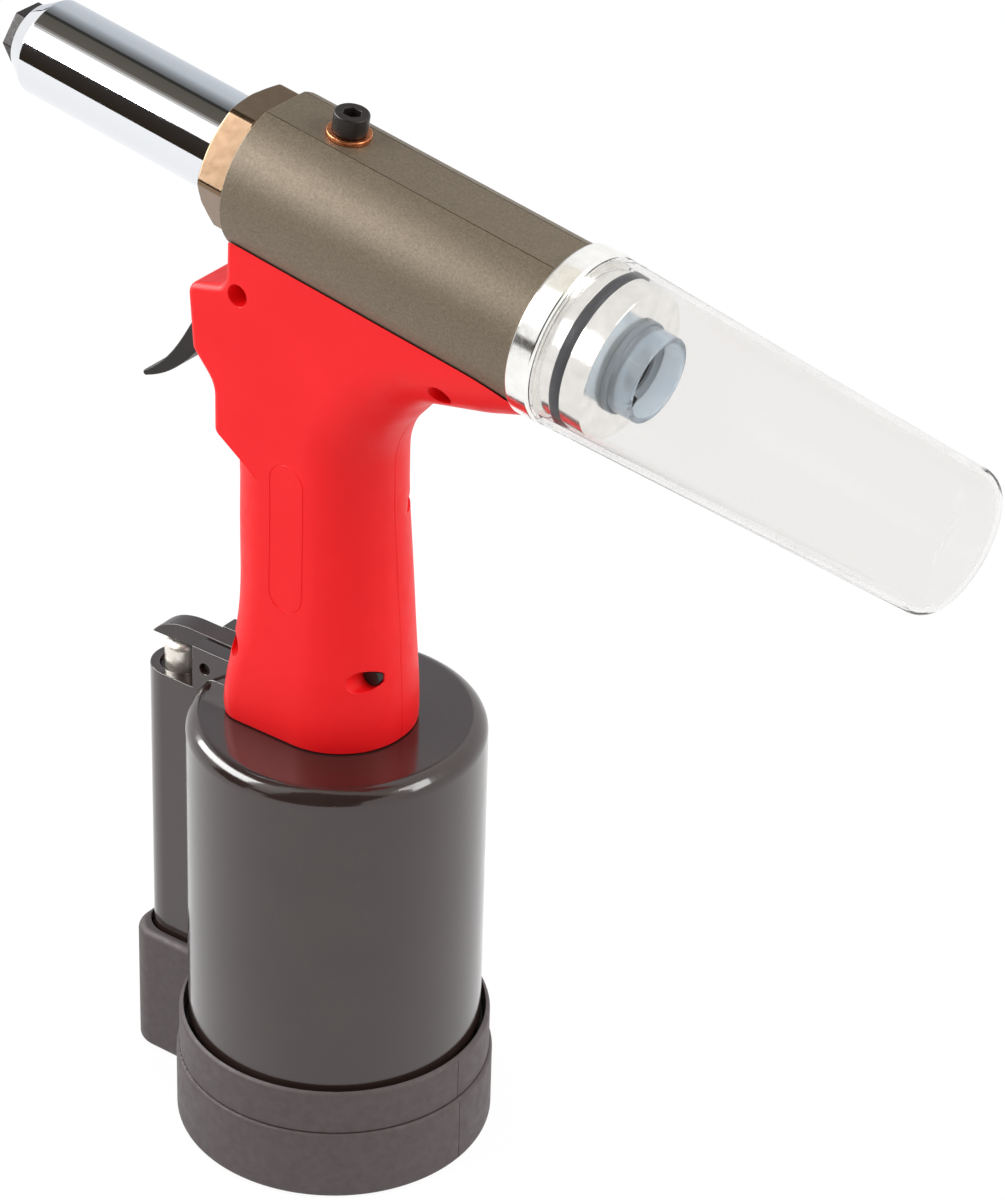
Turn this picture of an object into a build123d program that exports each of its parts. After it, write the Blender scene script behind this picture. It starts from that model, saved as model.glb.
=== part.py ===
from build123d import *
import math
import os

# Air-hydraulic blind riveter, in millimetres.
# The origin is the middle of the base on the floor, on the air cylinder's axis. +Z is up along that axis,
# the nose points to -X, the collector to +X, and -Y is the tool's left side.

# Fits
RUNNING_GAP = 0.05
STATIC_GAP = 0.05
LOOSE_GAP = 0.35
END_GAP = 0.2
CUT_MARGIN = 1.0
STAND = (Align.CENTER, Align.CENTER, Align.MIN)

# Barrel line: the head leans nose up, and stations along it count from the cylinder's axis to the rear
BARREL_Z = 258.93
BARREL_TILT = 9.165

# Air cylinder casting with its valve boss, foot and lever ears
CYLINDER_R = 37.5
CYLINDER_BORE_R = 33.5
CYLINDER_FOOT_Z = 3.0
CYLINDER_ROOF_Z = 109.0
CYLINDER_TOP_Z = 120.3
CYLINDER_RIM_R = 4.5
VALVE_X = -49.6
VALVE_BOSS_R = 8.4
VALVE_BOSS_TOP_Z = 115.5
FOOT_FRONT_X = -57.8
FOOT_HALF_WIDTH = 9.6
FOOT_TOP_Z = 33.0
FOOT_CORNER_R = 5.5
EAR_FRONT_X = -39.7
EAR_REAR_X = -25.5
EAR_INNER_Y = 3.6
EAR_TOP_Z = 127.8
EAR_SLOT_FLOOR_Z = 117.5
EAR_SLOT_REAR_X = -23.5
EAR_ROOT_Z = 113.5

# Rubber boot
BOOT_R = 40.7
BOOT_COLLAR_R = 39.9
BOOT_STEP_Z = 20.2
BOOT_COLLAR_TOP_Z = 32.4
BOOT_FLOOR = 2.8
BOOT_EDGE_R = 1.6
BOOT_BLOCK_FRONT_X = -60.0
BOOT_BLOCK_HALF_WIDTH = 12.2
BOOT_BLOCK_TOP_Z = 36.4
BOOT_BLOCK_CORNER_R = 8.0
BOOT_BLOCK_RIM_R = 2.2
BOOT_BOSS_GAP = 0.9

# Air valve
VALVE_BORE_R = 5.0
VALVE_SEAT_Z = 30.0
VALVE_SEAT_R = 3.6
VALVE_SEAT_DEPTH = 4.0
VALVE_GUIDE_Z = 98.0
VALVE_GUIDE_R = 6.0
VALVE_GUIDE_TOP_Z = 114.5
STEM_R = 4.7
STEM_TOP_Z = 122.4
STEM_DOME_R = 2.3
STEM_SHOULDER_Z = 100.0
STEM_NECK_R = 2.2
POPPET_R = 4.4
POPPET_Z = 25.0
VALVE_SPRING_R = 3.4
VALVE_SPRING_WIRE_R = 0.5
VALVE_SPRING_TURNS = 6
VALVE_PLUG_TOP_Z = 11.0
VALVE_PLUG_SEAL_Z = 8.4
VALVE_PLUG_SEAL_WIRE_R = 0.9
VALVE_PLUG_SEAL_R = 4.05
VALVE_PLUG_R = 4.8
VALVE_PLUG_SOCKET_FLATS = 5.0
VALVE_PLUG_SOCKET_DEPTH = 3.0
INLET_Z = 18.0
INLET_R = 7.2
INLET_THREAD_R = 5.72
INLET_FRONT_X = -59.4
INLET_REAR_X = -55.2
PASSAGE_R = 1.5
PASSAGE_START = (-45.6, 36.0)
PASSAGE_END = (-32.5, 12.6)

# Lever over the valve stem, and the rod that lifts its tail
LEVER_PIVOT_X = -35.6
LEVER_PIVOT_Z = 122.4
LEVER_HALF_WIDTH = 3.0
LEVER_TAIL_X = -12.2
LEVER_TAIL_UNDER_Z = 125.4
LEVER_TAIL_TOP_Z = 128.0
PIN_R = 1.5
LEVER_PIN_INSET = 1.3
ROD_X = -15.0
ROD_R = 1.25
ROD_BALL_R = 2.0
ROD_BALL_GAP = 0.3
FORK_WIDTH = 3.4
FORK_HEIGHT = 30.0

# Trigger
TRIGGER_PIVOT_X = -27.0
TRIGGER_PIVOT_Z = 224.0
TRIGGER_HALF_WIDTH = 4.5
TRIGGER_ARM_TOP_Z = 225.5
TRIGGER_ARM_UNDER_Z = 221.6
TRIGGER_HEEL_X = -26.0
TRIGGER_HEEL_TOP_Z = 228.5
TRIGGER_ARM_ROOT_X = -24.0

# Air piston and ram
AIR_PISTON_Z = 14.0
AIR_PISTON_HEIGHT = 10.0
AIR_PISTON_R = 33.0
RAM_R = 5.5
RAM_TOP_Z = 130.0
RAM_THREAD_R = 4.0
PISTON_NUT_FLATS = 13.0
PISTON_NUT_HEIGHT = 5.2
PISTON_NUT_Z = 14.6
PISTON_NUT_POCKET_R = 8.5
RAM_CHAMFER = 0.8
BUMPER_OUTER_R = 27.0
BUMPER_INNER_R = 20.0
END_CAP_Z = 5.0
END_CAP_TOP_Z = 11.0
END_CAP_R = 33.2
END_CAP_SEAL_R = 32.25
END_CAP_SEAL_WIRE_R = 1.2
CIRCLIP_THICKNESS = 1.4
CIRCLIP_Z = 3.5
CIRCLIP_R = 34.9
CIRCLIP_INNER_R = 31.0
CIRCLIP_GROOVE_R = 35.0
CIRCLIP_GAP = 10.0

# Neck of the head frame, which holds the oil that the ram pushes
NECK_R = 10.0
NECK_FOOT_Z = 101.5
NECK_BORE_R = 5.9
GLAND_R = 8.0
GLAND_TOP_Z = 118.0
RAM_SEAL_Z = 109.0
RAM_SEAL_R = 7.0
SEAL_THICKNESS = 2.4
SEAL_DEPTH = 2.5
CYLINDER_NUT_FLATS = 27.0
CYLINDER_NUT_Z = 102.0

# Head frame
HEAD_R = 20.1
HEAD_FRONT_S = -20.0
HEAD_REAR_S = 64.2
HEAD_FLAT_HALF_WIDTH = 7.0
OIL_BORE_R = 14.0
OIL_BORE_FRONT_S = -3.5
SLEEVE_R = 12.3
SLEEVE_REAR_S = -10.0
SLEEVE_BORE_R = 9.0
SLEEVE_CHAMFER_S = -89.6
SLEEVE_FRONT_S = -95.0
SLEEVE_FRONT_R = 8.8
SLEEVE_WALL_S = -84.0
NUT_FRONT_S = -29.6
NUT_CORNER_R = 18.6
NUT_TURNED_R = 18.25
NUT_CHAMFER_R = 15.8
NUT_CHAMFER_DEPTH = 1.2
OIL_PLUG_S = -1.0
OIL_PLUG_R = 2.4
OIL_PLUG_HEAD_R = 4.25
OIL_PLUG_HEAD_HEIGHT = 5.0
OIL_PLUG_EDGE_R = 0.5
OIL_PLUG_DEPTH = 4.0
OIL_PLUG_SOCKET_FLATS = 4.0
OIL_WASHER_R = 5.4
OIL_WASHER_THICKNESS = 1.3

# Nosepiece and jaws
NOSE_FRONT_S = -98.5
NOSE_CORNER_R = 8.0
NOSE_SHANK_R = 4.5
NOSE_TAIL_R = 3.2
NOSE_TAIL_S = -79.4
NOSE_BORE_R = 1.6
JAW_CASE_R = 8.6
JAW_CASE_NOSE_R = 7.6
JAW_CASE_FRONT_S = -81.0
JAW_CASE_REAR_S = -26.5
JAW_CASE_BORE_R = 6.9
JAW_CONE_FRONT_S = -79.0
JAW_CONE_REAR_S = -66.0
JAW_CONE_FRONT_R = 4.0
JAW_FRONT_S = -78.2
JAW_REAR_S = -67.6
JAW_GAP = 0.42
JAW_HOLE_R = 1.8
JAW_COUNT = 3
JAW_SECTOR = 114.0
PUSHER_REAR_S = -60.0
PUSHER_R = 6.0
JAW_SPRING_R = 5.2
JAW_SPRING_WIRE_R = 0.6
JAW_SPRING_TURNS = 9

# Hydraulic piston with its rod and mandrel tube
PULL_PISTON_S = 4.0
PULL_PISTON_LENGTH = 12.0
PULL_ROD_R = 7.0
PULL_THREAD_R = 6.0
PULL_THREAD_FRONT_S = -38.0
PULL_TUBE_R = 5.0
PULL_TUBE_REAR_S = 70.0
MANDREL_BORE_R = 2.75
ROD_GLAND_R = 9.4
ROD_SEAL_S = -8.0
ROD_SEAL_R = 8.4
RETURN_SPRING_R = 9.5
RETURN_SPRING_WIRE_R = 1.3
RETURN_SPRING_TURNS = 7

# Rear cap, mandrel guide and collector
CAP_SPIGOT_S = 56.0
CAP_RING_R = 21.5
CAP_RING_REAR_S = 71.1
CAP_PLUG_R = 18.6
CAP_PLUG_REAR_S = 84.0
CAP_RING_EDGE = 0.7
COLLECTOR_RING_S = 76.6
COLLECTOR_RING_R = 17.65
COLLECTOR_RING_WIRE_R = 1.6
GUIDE_FLANGE_R = 11.5
GUIDE_FLANGE_REAR_S = 85.6
GUIDE_FLANGE_EDGE_R = 0.6
GUIDE_R = 10.7
GUIDE_REAR_S = 91.7
GUIDE_CUP_R = 9.2
GUIDE_CUP_FLOOR_S = 86.4
GUIDE_RIM_R = 0.5
GUIDE_SPIGOT_R = 8.0
GUIDE_SPIGOT_S = 79.0
GUIDE_BORE_R = 5.6
COLLECTOR_MOUTH_S = 71.3
COLLECTOR_MOUTH_R = 21.2
COLLECTOR_END_S = 174.5
COLLECTOR_TAPER = 0.035
COLLECTOR_WALL = 1.7
COLLECTOR_RIM_R = 0.5
COLLECTOR_END_FILLET = 5.5

# Handle shells
SHELL_WALL = 2.6
SHELL_BASE_Z = 120.6
SHELL_HALF_WIDTH = 16.5
SHELL_EDGE_R = 2.2
SHELL_SHOULDER_Z = 188.0
GRIP_LEVELS = [  # z, front x, rear x, half width, front corner radius, rear corner radius
    (120.6, -23.6, 20.0, 19.3, 7.0, 18.6),
    (130.0, -23.9, 20.0, 19.1, 8.0, 18.4),
    (146.0, -23.5, 19.3, 17.6, 12.0, 17.0),
    (166.0, -24.1, 18.1, 16.7, 13.5, 16.1),
    (178.0, -24.3, 17.2, 16.5, 13.5, 15.9),
    (SHELL_SHOULDER_Z, -24.3, 16.75, 16.5, 13.5, 15.9),
]
GRIP_POST_TOP_Z = 204.0
GRIP_POST_REAR_X = -5.0
UPPER_FRONT_POINTS = [
    (-21.0, 275.0), (-21.8, 237.4), (-33.6, 234.6), (-32.3, 217.6), (-25.8, 210.0), (-25.8, 198.6),
    (-10.0, SHELL_SHOULDER_Z), (110.0, SHELL_SHOULDER_Z), (110.0, 275.0),
]
UPPER_FRONT_RADII = [0, 3.5, 3.2, 3.5, 8.0, 0, 0, 0, 0]
CREASE_TOP_Z = 198.7
WING_FRONT_X = -60.0
WING_REAR_X = 110.0
WING_REAR_EDGE_X = 16.75
WING_POINTS = [
    (WING_FRONT_X, 290.0), (WING_FRONT_X, 160.0), (WING_REAR_EDGE_X, 160.0), (WING_REAR_EDGE_X, 199.0),
    (19.2, 207.0), (30.0, 219.6), (50.0, 223.6), (WING_REAR_X, 241.2), (WING_REAR_X, 290.0),
]
WING_RADII = [0, 0, 0, 20.0, 24.0, 14.0, 40.0, 0, 0]
WING_EDGE_R = 15.9
SHELL_BARREL_GAP = 0.4
SCREW_SHANK_R = 1.5
SCREW_HEAD_R = 2.4
SCREW_HEAD_Y = -5.5
SCREW_HEAD_HEIGHT = 2.0
SCREW_END_Y = 6.5
SCREW_RECESS_R = 2.8
SCREW_BOSS_R = 4.2
SCREW_PLACES = [(-17.7, 236.4), (39.6, 228.6), (16.2, 140.4), (-20.2, 139.3)]
TRIGGER_SLOT_HALF_WIDTH = 5.2
TRIGGER_SLOT_FRONT_X = -40.0
TRIGGER_SLOT_REAR_X = -26.0
TRIGGER_SLOT_Z = (211.5, 231.5)
TRIGGER_ARM_SLOT_REAR_X = -11.2
TRIGGER_ARM_SLOT_Z = (214.0, 229.0)
LEVER_SLOT_HALF_WIDTH = 4.5
LEVER_SLOT_X = (-30.0, -10.5)
LEVER_SLOT_TOP_Z = 132.8
ROD_HOLE_R = 3.25
ROD_HOLE_TOP_Z = 236.0


def upright(radius, z_low, z_high, x=0, y=0):
    """A cylinder standing along Z."""
    return Pos(x, y, z_low) * Cylinder(radius, z_high - z_low, align=STAND)


def crosswise(radius, y_low, y_high, x, z):
    """A cylinder lying along Y."""
    return Pos(x, y_low, z) * Rot(-90, 0, 0) * Cylinder(radius, y_high - y_low, align=STAND)


def lengthwise(radius, s_low, s_high):
    """A cylinder lying along the barrel, in the barrel's own frame."""
    return Pos(s_low, 0, 0) * Rot(0, 90, 0) * Cylinder(radius, s_high - s_low, align=STAND)


def block(x_low, x_high, half_width, z_low, z_high):
    """A box set evenly about the middle plane."""
    middle = Pos((x_low + x_high) / 2, 0, (z_low + z_high) / 2)
    return middle * Box(x_high - x_low, 2 * half_width, z_high - z_low)


def turned(*points):
    """A solid turned about the barrel from its (station, radius) outline."""
    return revolve(make_face(Polyline(*points, close=True)), Axis.X)


def lying_hexagon(corner_radius, s_low, s_high):
    """A hexagon bar along the barrel with its corners to the sides."""
    bar = extrude(RegularPolygon(corner_radius, 6, rotation=30), s_high - s_low)
    return Pos(s_low, 0, 0) * Rot(0, 90, 0) * bar


def standing_hexagon(across_flats, z_low, z_high):
    """A hexagon bar along Z."""
    corner_radius = across_flats / math.sqrt(3)
    return Pos(0, 0, z_low) * extrude(RegularPolygon(corner_radius, 6), z_high - z_low)


def standing_ring(radius, wire_radius, z, x=0):
    """A round seal about a vertical axis."""
    return Pos(x, 0, z) * Torus(radius, wire_radius)


def lying_ring(radius, wire_radius, station):
    """A round seal about the barrel."""
    return Pos(station, 0, 0) * Rot(0, 90, 0) * Torus(radius, wire_radius)


def coil_spring(mean_radius, wire_radius, length, turns):
    """A spring along Z from zero to its length."""
    height = length - 2 * wire_radius
    path = Helix(pitch=height / turns, height=height, radius=mean_radius, center=(0, 0, wire_radius))
    section = Plane(origin=path @ 0, z_dir=path % 0) * Circle(wire_radius)
    return sweep(section, path=path, is_frenet=True)


def on_barrel(shape):
    """Moves a shape from the barrel's own frame into place on the tool."""
    return Location((0, 0, BARREL_Z), (0, BARREL_TILT, 0)) * shape


def nosepiece():
    tail_start = SLEEVE_WALL_S
    outer = lying_hexagon(NOSE_CORNER_R, NOSE_FRONT_S, SLEEVE_FRONT_S)
    outer += lengthwise(NOSE_SHANK_R, SLEEVE_FRONT_S, tail_start)
    outer += lengthwise(NOSE_TAIL_R, tail_start, NOSE_TAIL_S)
    return on_barrel(outer - lengthwise(NOSE_BORE_R, NOSE_FRONT_S, NOSE_TAIL_S))


def front_sleeve():
    nose_hole_r = NOSE_SHANK_R + STATIC_GAP
    return on_barrel(turned(
        (SLEEVE_FRONT_S, nose_hole_r),
        (SLEEVE_FRONT_S, SLEEVE_FRONT_R),
        (SLEEVE_CHAMFER_S, SLEEVE_R),
        (SLEEVE_REAR_S, SLEEVE_R),
        (SLEEVE_REAR_S, SLEEVE_BORE_R),
        (SLEEVE_WALL_S, SLEEVE_BORE_R),
        (SLEEVE_WALL_S, nose_hole_r),
    ))


def lock_nut():
    bore_r = SLEEVE_R + STATIC_GAP
    envelope = turned(
        (NUT_FRONT_S, bore_r),
        (NUT_FRONT_S, NUT_CHAMFER_R),
        (NUT_FRONT_S + NUT_CHAMFER_DEPTH, NUT_TURNED_R),
        (HEAD_FRONT_S - NUT_CHAMFER_DEPTH, NUT_TURNED_R),
        (HEAD_FRONT_S, NUT_CHAMFER_R),
        (HEAD_FRONT_S, bore_r),
    )
    return on_barrel(lying_hexagon(NUT_CORNER_R, NUT_FRONT_S, HEAD_FRONT_S) & envelope)


HEAD_FLAT_U = math.sqrt(HEAD_R**2 - HEAD_FLAT_HALF_WIDTH**2)


def head_frame():
    flat_centre = Pos((HEAD_FRONT_S + HEAD_REAR_S) / 2, 0, HEAD_FLAT_U + HEAD_R)
    barrel = lengthwise(HEAD_R, HEAD_FRONT_S, HEAD_REAR_S)
    barrel -= flat_centre * Box(HEAD_REAR_S - HEAD_FRONT_S, 2 * HEAD_R, 2 * HEAD_R)
    casting = on_barrel(barrel) + upright(NECK_R, NECK_FOOT_Z, BARREL_Z - OIL_BORE_R)
    bores = lengthwise(SLEEVE_R + STATIC_GAP, HEAD_FRONT_S, SLEEVE_REAR_S)
    bores += lengthwise(ROD_GLAND_R + STATIC_GAP, SLEEVE_REAR_S, OIL_BORE_FRONT_S)
    bores += lengthwise(OIL_BORE_R, OIL_BORE_FRONT_S, HEAD_REAR_S)
    bores += upright(OIL_PLUG_R + STATIC_GAP, 0, HEAD_R, x=OIL_PLUG_S)
    casting -= on_barrel(bores)
    casting -= upright(NECK_BORE_R, NECK_FOOT_Z, BARREL_Z)
    return casting - upright(GLAND_R, NECK_FOOT_Z, GLAND_TOP_Z)


def oil_plug_washer():
    washer = upright(OIL_WASHER_R, HEAD_FLAT_U, HEAD_FLAT_U + OIL_WASHER_THICKNESS, x=OIL_PLUG_S)
    hole = upright(OIL_PLUG_R + STATIC_GAP, 0, HEAD_R + OIL_WASHER_THICKNESS, x=OIL_PLUG_S)
    return on_barrel(washer - hole)


def oil_plug_screw():
    seat = HEAD_FLAT_U + OIL_WASHER_THICKNESS
    head = Cylinder(OIL_PLUG_HEAD_R, OIL_PLUG_HEAD_HEIGHT, align=STAND)
    head = fillet(head.edges().sort_by(Axis.Z)[-1], OIL_PLUG_EDGE_R)
    socket = standing_hexagon(OIL_PLUG_SOCKET_FLATS, OIL_PLUG_HEAD_HEIGHT / 2, OIL_PLUG_HEAD_HEIGHT)
    screw = Pos(OIL_PLUG_S, 0, seat) * (head - socket)
    screw += upright(OIL_PLUG_R, HEAD_FLAT_U - OIL_PLUG_DEPTH, seat, x=OIL_PLUG_S)
    return on_barrel(screw)


def rod_gland():
    bush = lengthwise(ROD_GLAND_R, SLEEVE_REAR_S, OIL_BORE_FRONT_S)
    bush -= lengthwise(PULL_ROD_R + RUNNING_GAP, SLEEVE_REAR_S, OIL_BORE_FRONT_S)
    return on_barrel(bush - lengthwise(ROD_SEAL_R, ROD_SEAL_S, ROD_SEAL_S + SEAL_THICKNESS))


def rod_seal():
    ring = lengthwise(ROD_SEAL_R, ROD_SEAL_S, ROD_SEAL_S + SEAL_THICKNESS)
    return on_barrel(ring - lengthwise(PULL_ROD_R + RUNNING_GAP, ROD_SEAL_S, ROD_SEAL_S + SEAL_THICKNESS))


PULL_PISTON_REAR_S = PULL_PISTON_S + PULL_PISTON_LENGTH
PULL_SEAL_S = PULL_PISTON_S + (PULL_PISTON_LENGTH - SEAL_THICKNESS) / 2
PULL_SEAL_INNER_R = OIL_BORE_R - SEAL_DEPTH


def hydraulic_piston():
    piston = turned(
        (PULL_THREAD_FRONT_S, MANDREL_BORE_R),
        (PULL_THREAD_FRONT_S, PULL_THREAD_R),
        (JAW_CASE_REAR_S, PULL_THREAD_R),
        (JAW_CASE_REAR_S, PULL_ROD_R),
        (PULL_PISTON_S, PULL_ROD_R),
        (PULL_PISTON_S, OIL_BORE_R - LOOSE_GAP),
        (PULL_PISTON_REAR_S, OIL_BORE_R - LOOSE_GAP),
        (PULL_PISTON_REAR_S, PULL_TUBE_R),
        (PULL_TUBE_REAR_S, PULL_TUBE_R),
        (PULL_TUBE_REAR_S, MANDREL_BORE_R),
    )
    groove = lengthwise(OIL_BORE_R, PULL_SEAL_S, PULL_SEAL_S + SEAL_THICKNESS)
    groove -= lengthwise(PULL_SEAL_INNER_R, PULL_SEAL_S, PULL_SEAL_S + SEAL_THICKNESS)
    return on_barrel(piston - groove)


def hydraulic_piston_seal():
    ring = lengthwise(OIL_BORE_R - RUNNING_GAP, PULL_SEAL_S, PULL_SEAL_S + SEAL_THICKNESS)
    return on_barrel(ring - lengthwise(PULL_SEAL_INNER_R, PULL_SEAL_S, PULL_SEAL_S + SEAL_THICKNESS))


def return_spring():
    length = CAP_SPIGOT_S - PULL_PISTON_REAR_S - 2 * END_GAP
    spring = coil_spring(RETURN_SPRING_R, RETURN_SPRING_WIRE_R, length, RETURN_SPRING_TURNS)
    return on_barrel(Pos(PULL_PISTON_REAR_S + END_GAP, 0, 0) * Rot(0, 90, 0) * spring)


def jaw_case():
    thread_hole_r = PULL_THREAD_R + STATIC_GAP
    return on_barrel(turned(
        (JAW_CASE_FRONT_S, JAW_CONE_FRONT_R),
        (JAW_CASE_FRONT_S, JAW_CASE_NOSE_R),
        (JAW_CONE_FRONT_S, JAW_CASE_R),
        (JAW_CASE_REAR_S, JAW_CASE_R),
        (JAW_CASE_REAR_S, thread_hole_r),
        (PULL_THREAD_FRONT_S, thread_hole_r),
        (PULL_THREAD_FRONT_S, JAW_CASE_BORE_R),
        (JAW_CONE_REAR_S, JAW_CASE_BORE_R),
        (JAW_CONE_FRONT_S, JAW_CONE_FRONT_R),
    ))


def jaws():
    slope = (JAW_CASE_BORE_R - JAW_CONE_FRONT_R) / (JAW_CONE_REAR_S - JAW_CONE_FRONT_S)
    front_r = JAW_CONE_FRONT_R + slope * (JAW_FRONT_S - JAW_CONE_FRONT_S) - JAW_GAP
    rear_r = JAW_CONE_FRONT_R + slope * (JAW_REAR_S - JAW_CONE_FRONT_S) - JAW_GAP
    outline = Polyline(
        (JAW_FRONT_S, JAW_HOLE_R), (JAW_FRONT_S, front_r), (JAW_REAR_S, rear_r), (JAW_REAR_S, JAW_HOLE_R),
        close=True,
    )
    jaw = revolve(make_face(outline), Axis.X, revolution_arc=JAW_SECTOR)
    turns = [360 * index / JAW_COUNT for index in range(JAW_COUNT)]
    return Compound([on_barrel(Rot(turn, 0, 0) * jaw) for turn in turns])


def jaw_pusher():
    pusher = lengthwise(PUSHER_R, JAW_REAR_S + END_GAP, PUSHER_REAR_S)
    return on_barrel(pusher - lengthwise(MANDREL_BORE_R, JAW_REAR_S, PUSHER_REAR_S))


def jaw_spring():
    length = PULL_THREAD_FRONT_S - PUSHER_REAR_S - 2 * END_GAP
    spring = coil_spring(JAW_SPRING_R, JAW_SPRING_WIRE_R, length, JAW_SPRING_TURNS)
    return on_barrel(Pos(PUSHER_REAR_S + END_GAP, 0, 0) * Rot(0, 90, 0) * spring)


def rear_cap():
    cap = lengthwise(OIL_BORE_R - STATIC_GAP, CAP_SPIGOT_S, HEAD_REAR_S)
    ring = lengthwise(CAP_RING_R, HEAD_REAR_S, CAP_RING_REAR_S)
    cap += chamfer(ring.edges().filter_by(GeomType.CIRCLE), CAP_RING_EDGE)
    cap += lengthwise(CAP_PLUG_R, CAP_RING_REAR_S, CAP_PLUG_REAR_S)
    cap -= lengthwise(PULL_TUBE_R + RUNNING_GAP, CAP_SPIGOT_S, CAP_PLUG_REAR_S)
    cap -= lengthwise(GUIDE_SPIGOT_R + STATIC_GAP, GUIDE_SPIGOT_S, CAP_PLUG_REAR_S)
    return on_barrel(cap) - collector_o_ring()


def collector_o_ring():
    return on_barrel(lying_ring(COLLECTOR_RING_R, COLLECTOR_RING_WIRE_R, COLLECTOR_RING_S))


def mandrel_guide():
    outline = FilletPolyline(
        (GUIDE_SPIGOT_S, GUIDE_BORE_R),
        (GUIDE_SPIGOT_S, GUIDE_SPIGOT_R),
        (CAP_PLUG_REAR_S, GUIDE_SPIGOT_R),
        (CAP_PLUG_REAR_S, GUIDE_FLANGE_R),
        (GUIDE_FLANGE_REAR_S, GUIDE_FLANGE_R),
        (GUIDE_FLANGE_REAR_S, GUIDE_R),
        (GUIDE_REAR_S, GUIDE_R),
        (GUIDE_REAR_S, GUIDE_CUP_R),
        (GUIDE_CUP_FLOOR_S, GUIDE_CUP_R),
        (GUIDE_CUP_FLOOR_S, GUIDE_BORE_R),
        radius=[0, 0, 0, 0, GUIDE_FLANGE_EDGE_R, 0, GUIDE_RIM_R, GUIDE_RIM_R, 0, 0],
        close=True,
    )
    return on_barrel(revolve(make_face(outline), Axis.X))


def collector_bottle():
    end_r = COLLECTOR_MOUTH_R - COLLECTOR_TAPER * (COLLECTOR_END_S - COLLECTOR_MOUTH_S)
    inside_end_s = COLLECTOR_END_S - COLLECTOR_WALL
    outline = FilletPolyline(
        (COLLECTOR_MOUTH_S, COLLECTOR_MOUTH_R - COLLECTOR_WALL),
        (COLLECTOR_MOUTH_S, COLLECTOR_MOUTH_R),
        (COLLECTOR_END_S, end_r),
        (COLLECTOR_END_S, 0),
        (inside_end_s, 0),
        (inside_end_s, end_r - COLLECTOR_WALL),
        radius=[0, COLLECTOR_RIM_R, COLLECTOR_END_FILLET, 0, 0, COLLECTOR_END_FILLET - COLLECTOR_WALL],
        close=True,
    )
    return on_barrel(revolve(make_face(outline), Axis.X))


def grip_section(z, front_x, rear_x, half_width, front_r, rear_r, inset=0):
    """One level cut through the grip: flat sided, with rounded front corners and a round back."""
    front = front_x + inset
    rear = rear_x - inset
    half = half_width - inset
    outline = FilletPolyline(
        (front, -half), (rear, -half), (rear, half), (front, half),
        radius=[front_r - inset, rear_r - inset, rear_r - inset, front_r - inset],
        close=True,
    )
    return Pos(0, 0, z) * make_face(outline)


def grip_form(inset=0):
    """The grip: flared at its foot, straight near its top, with a post up behind the trigger."""
    levels = [grip_section(*level, inset=inset) for level in GRIP_LEVELS]
    post = extrude(levels[-1], GRIP_POST_TOP_Z - SHELL_SHOULDER_Z)
    post -= block(GRIP_POST_REAR_X, WING_REAR_X, 2 * SHELL_HALF_WIDTH, SHELL_SHOULDER_Z, BARREL_Z)
    return loft(levels) + post


def shell_plate(points, radii, inset):
    """A plate cut to an (x, z) outline and drawn in all round by the inset."""
    face = make_face(FilletPolyline(*points, radius=radii, close=True))
    if inset:
        face = offset(face, -inset)
    return extrude(Plane.XZ * face, SHELL_HALF_WIDTH - inset, both=True)


def side_edges(plate):
    """The edges round a plate's two sides."""
    sides = plate.faces().sort_by(Axis.Y)
    return sides[0].edges() + sides[-1].edges()


def upper_form(inset=0):
    """The part under the barrel: square front with its nub, and a wing that rounds into the grip's back."""
    front = shell_plate(UPPER_FRONT_POINTS, UPPER_FRONT_RADII, inset)
    if SHELL_EDGE_R > inset:
        over_crease = side_edges(front).filter_by(lambda edge: edge.center().Z > CREASE_TOP_Z)
        front = fillet(over_crease.filter_by(lambda edge: edge.center().X < 0), SHELL_EDGE_R)
    wing = shell_plate(WING_POINTS, WING_RADII, inset)
    wing = fillet(side_edges(wing), WING_EDGE_R - inset)
    wing -= block(WING_FRONT_X, WING_REAR_X, 2 * SHELL_HALF_WIDTH, 0, SHELL_SHOULDER_Z)
    return front & wing


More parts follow.
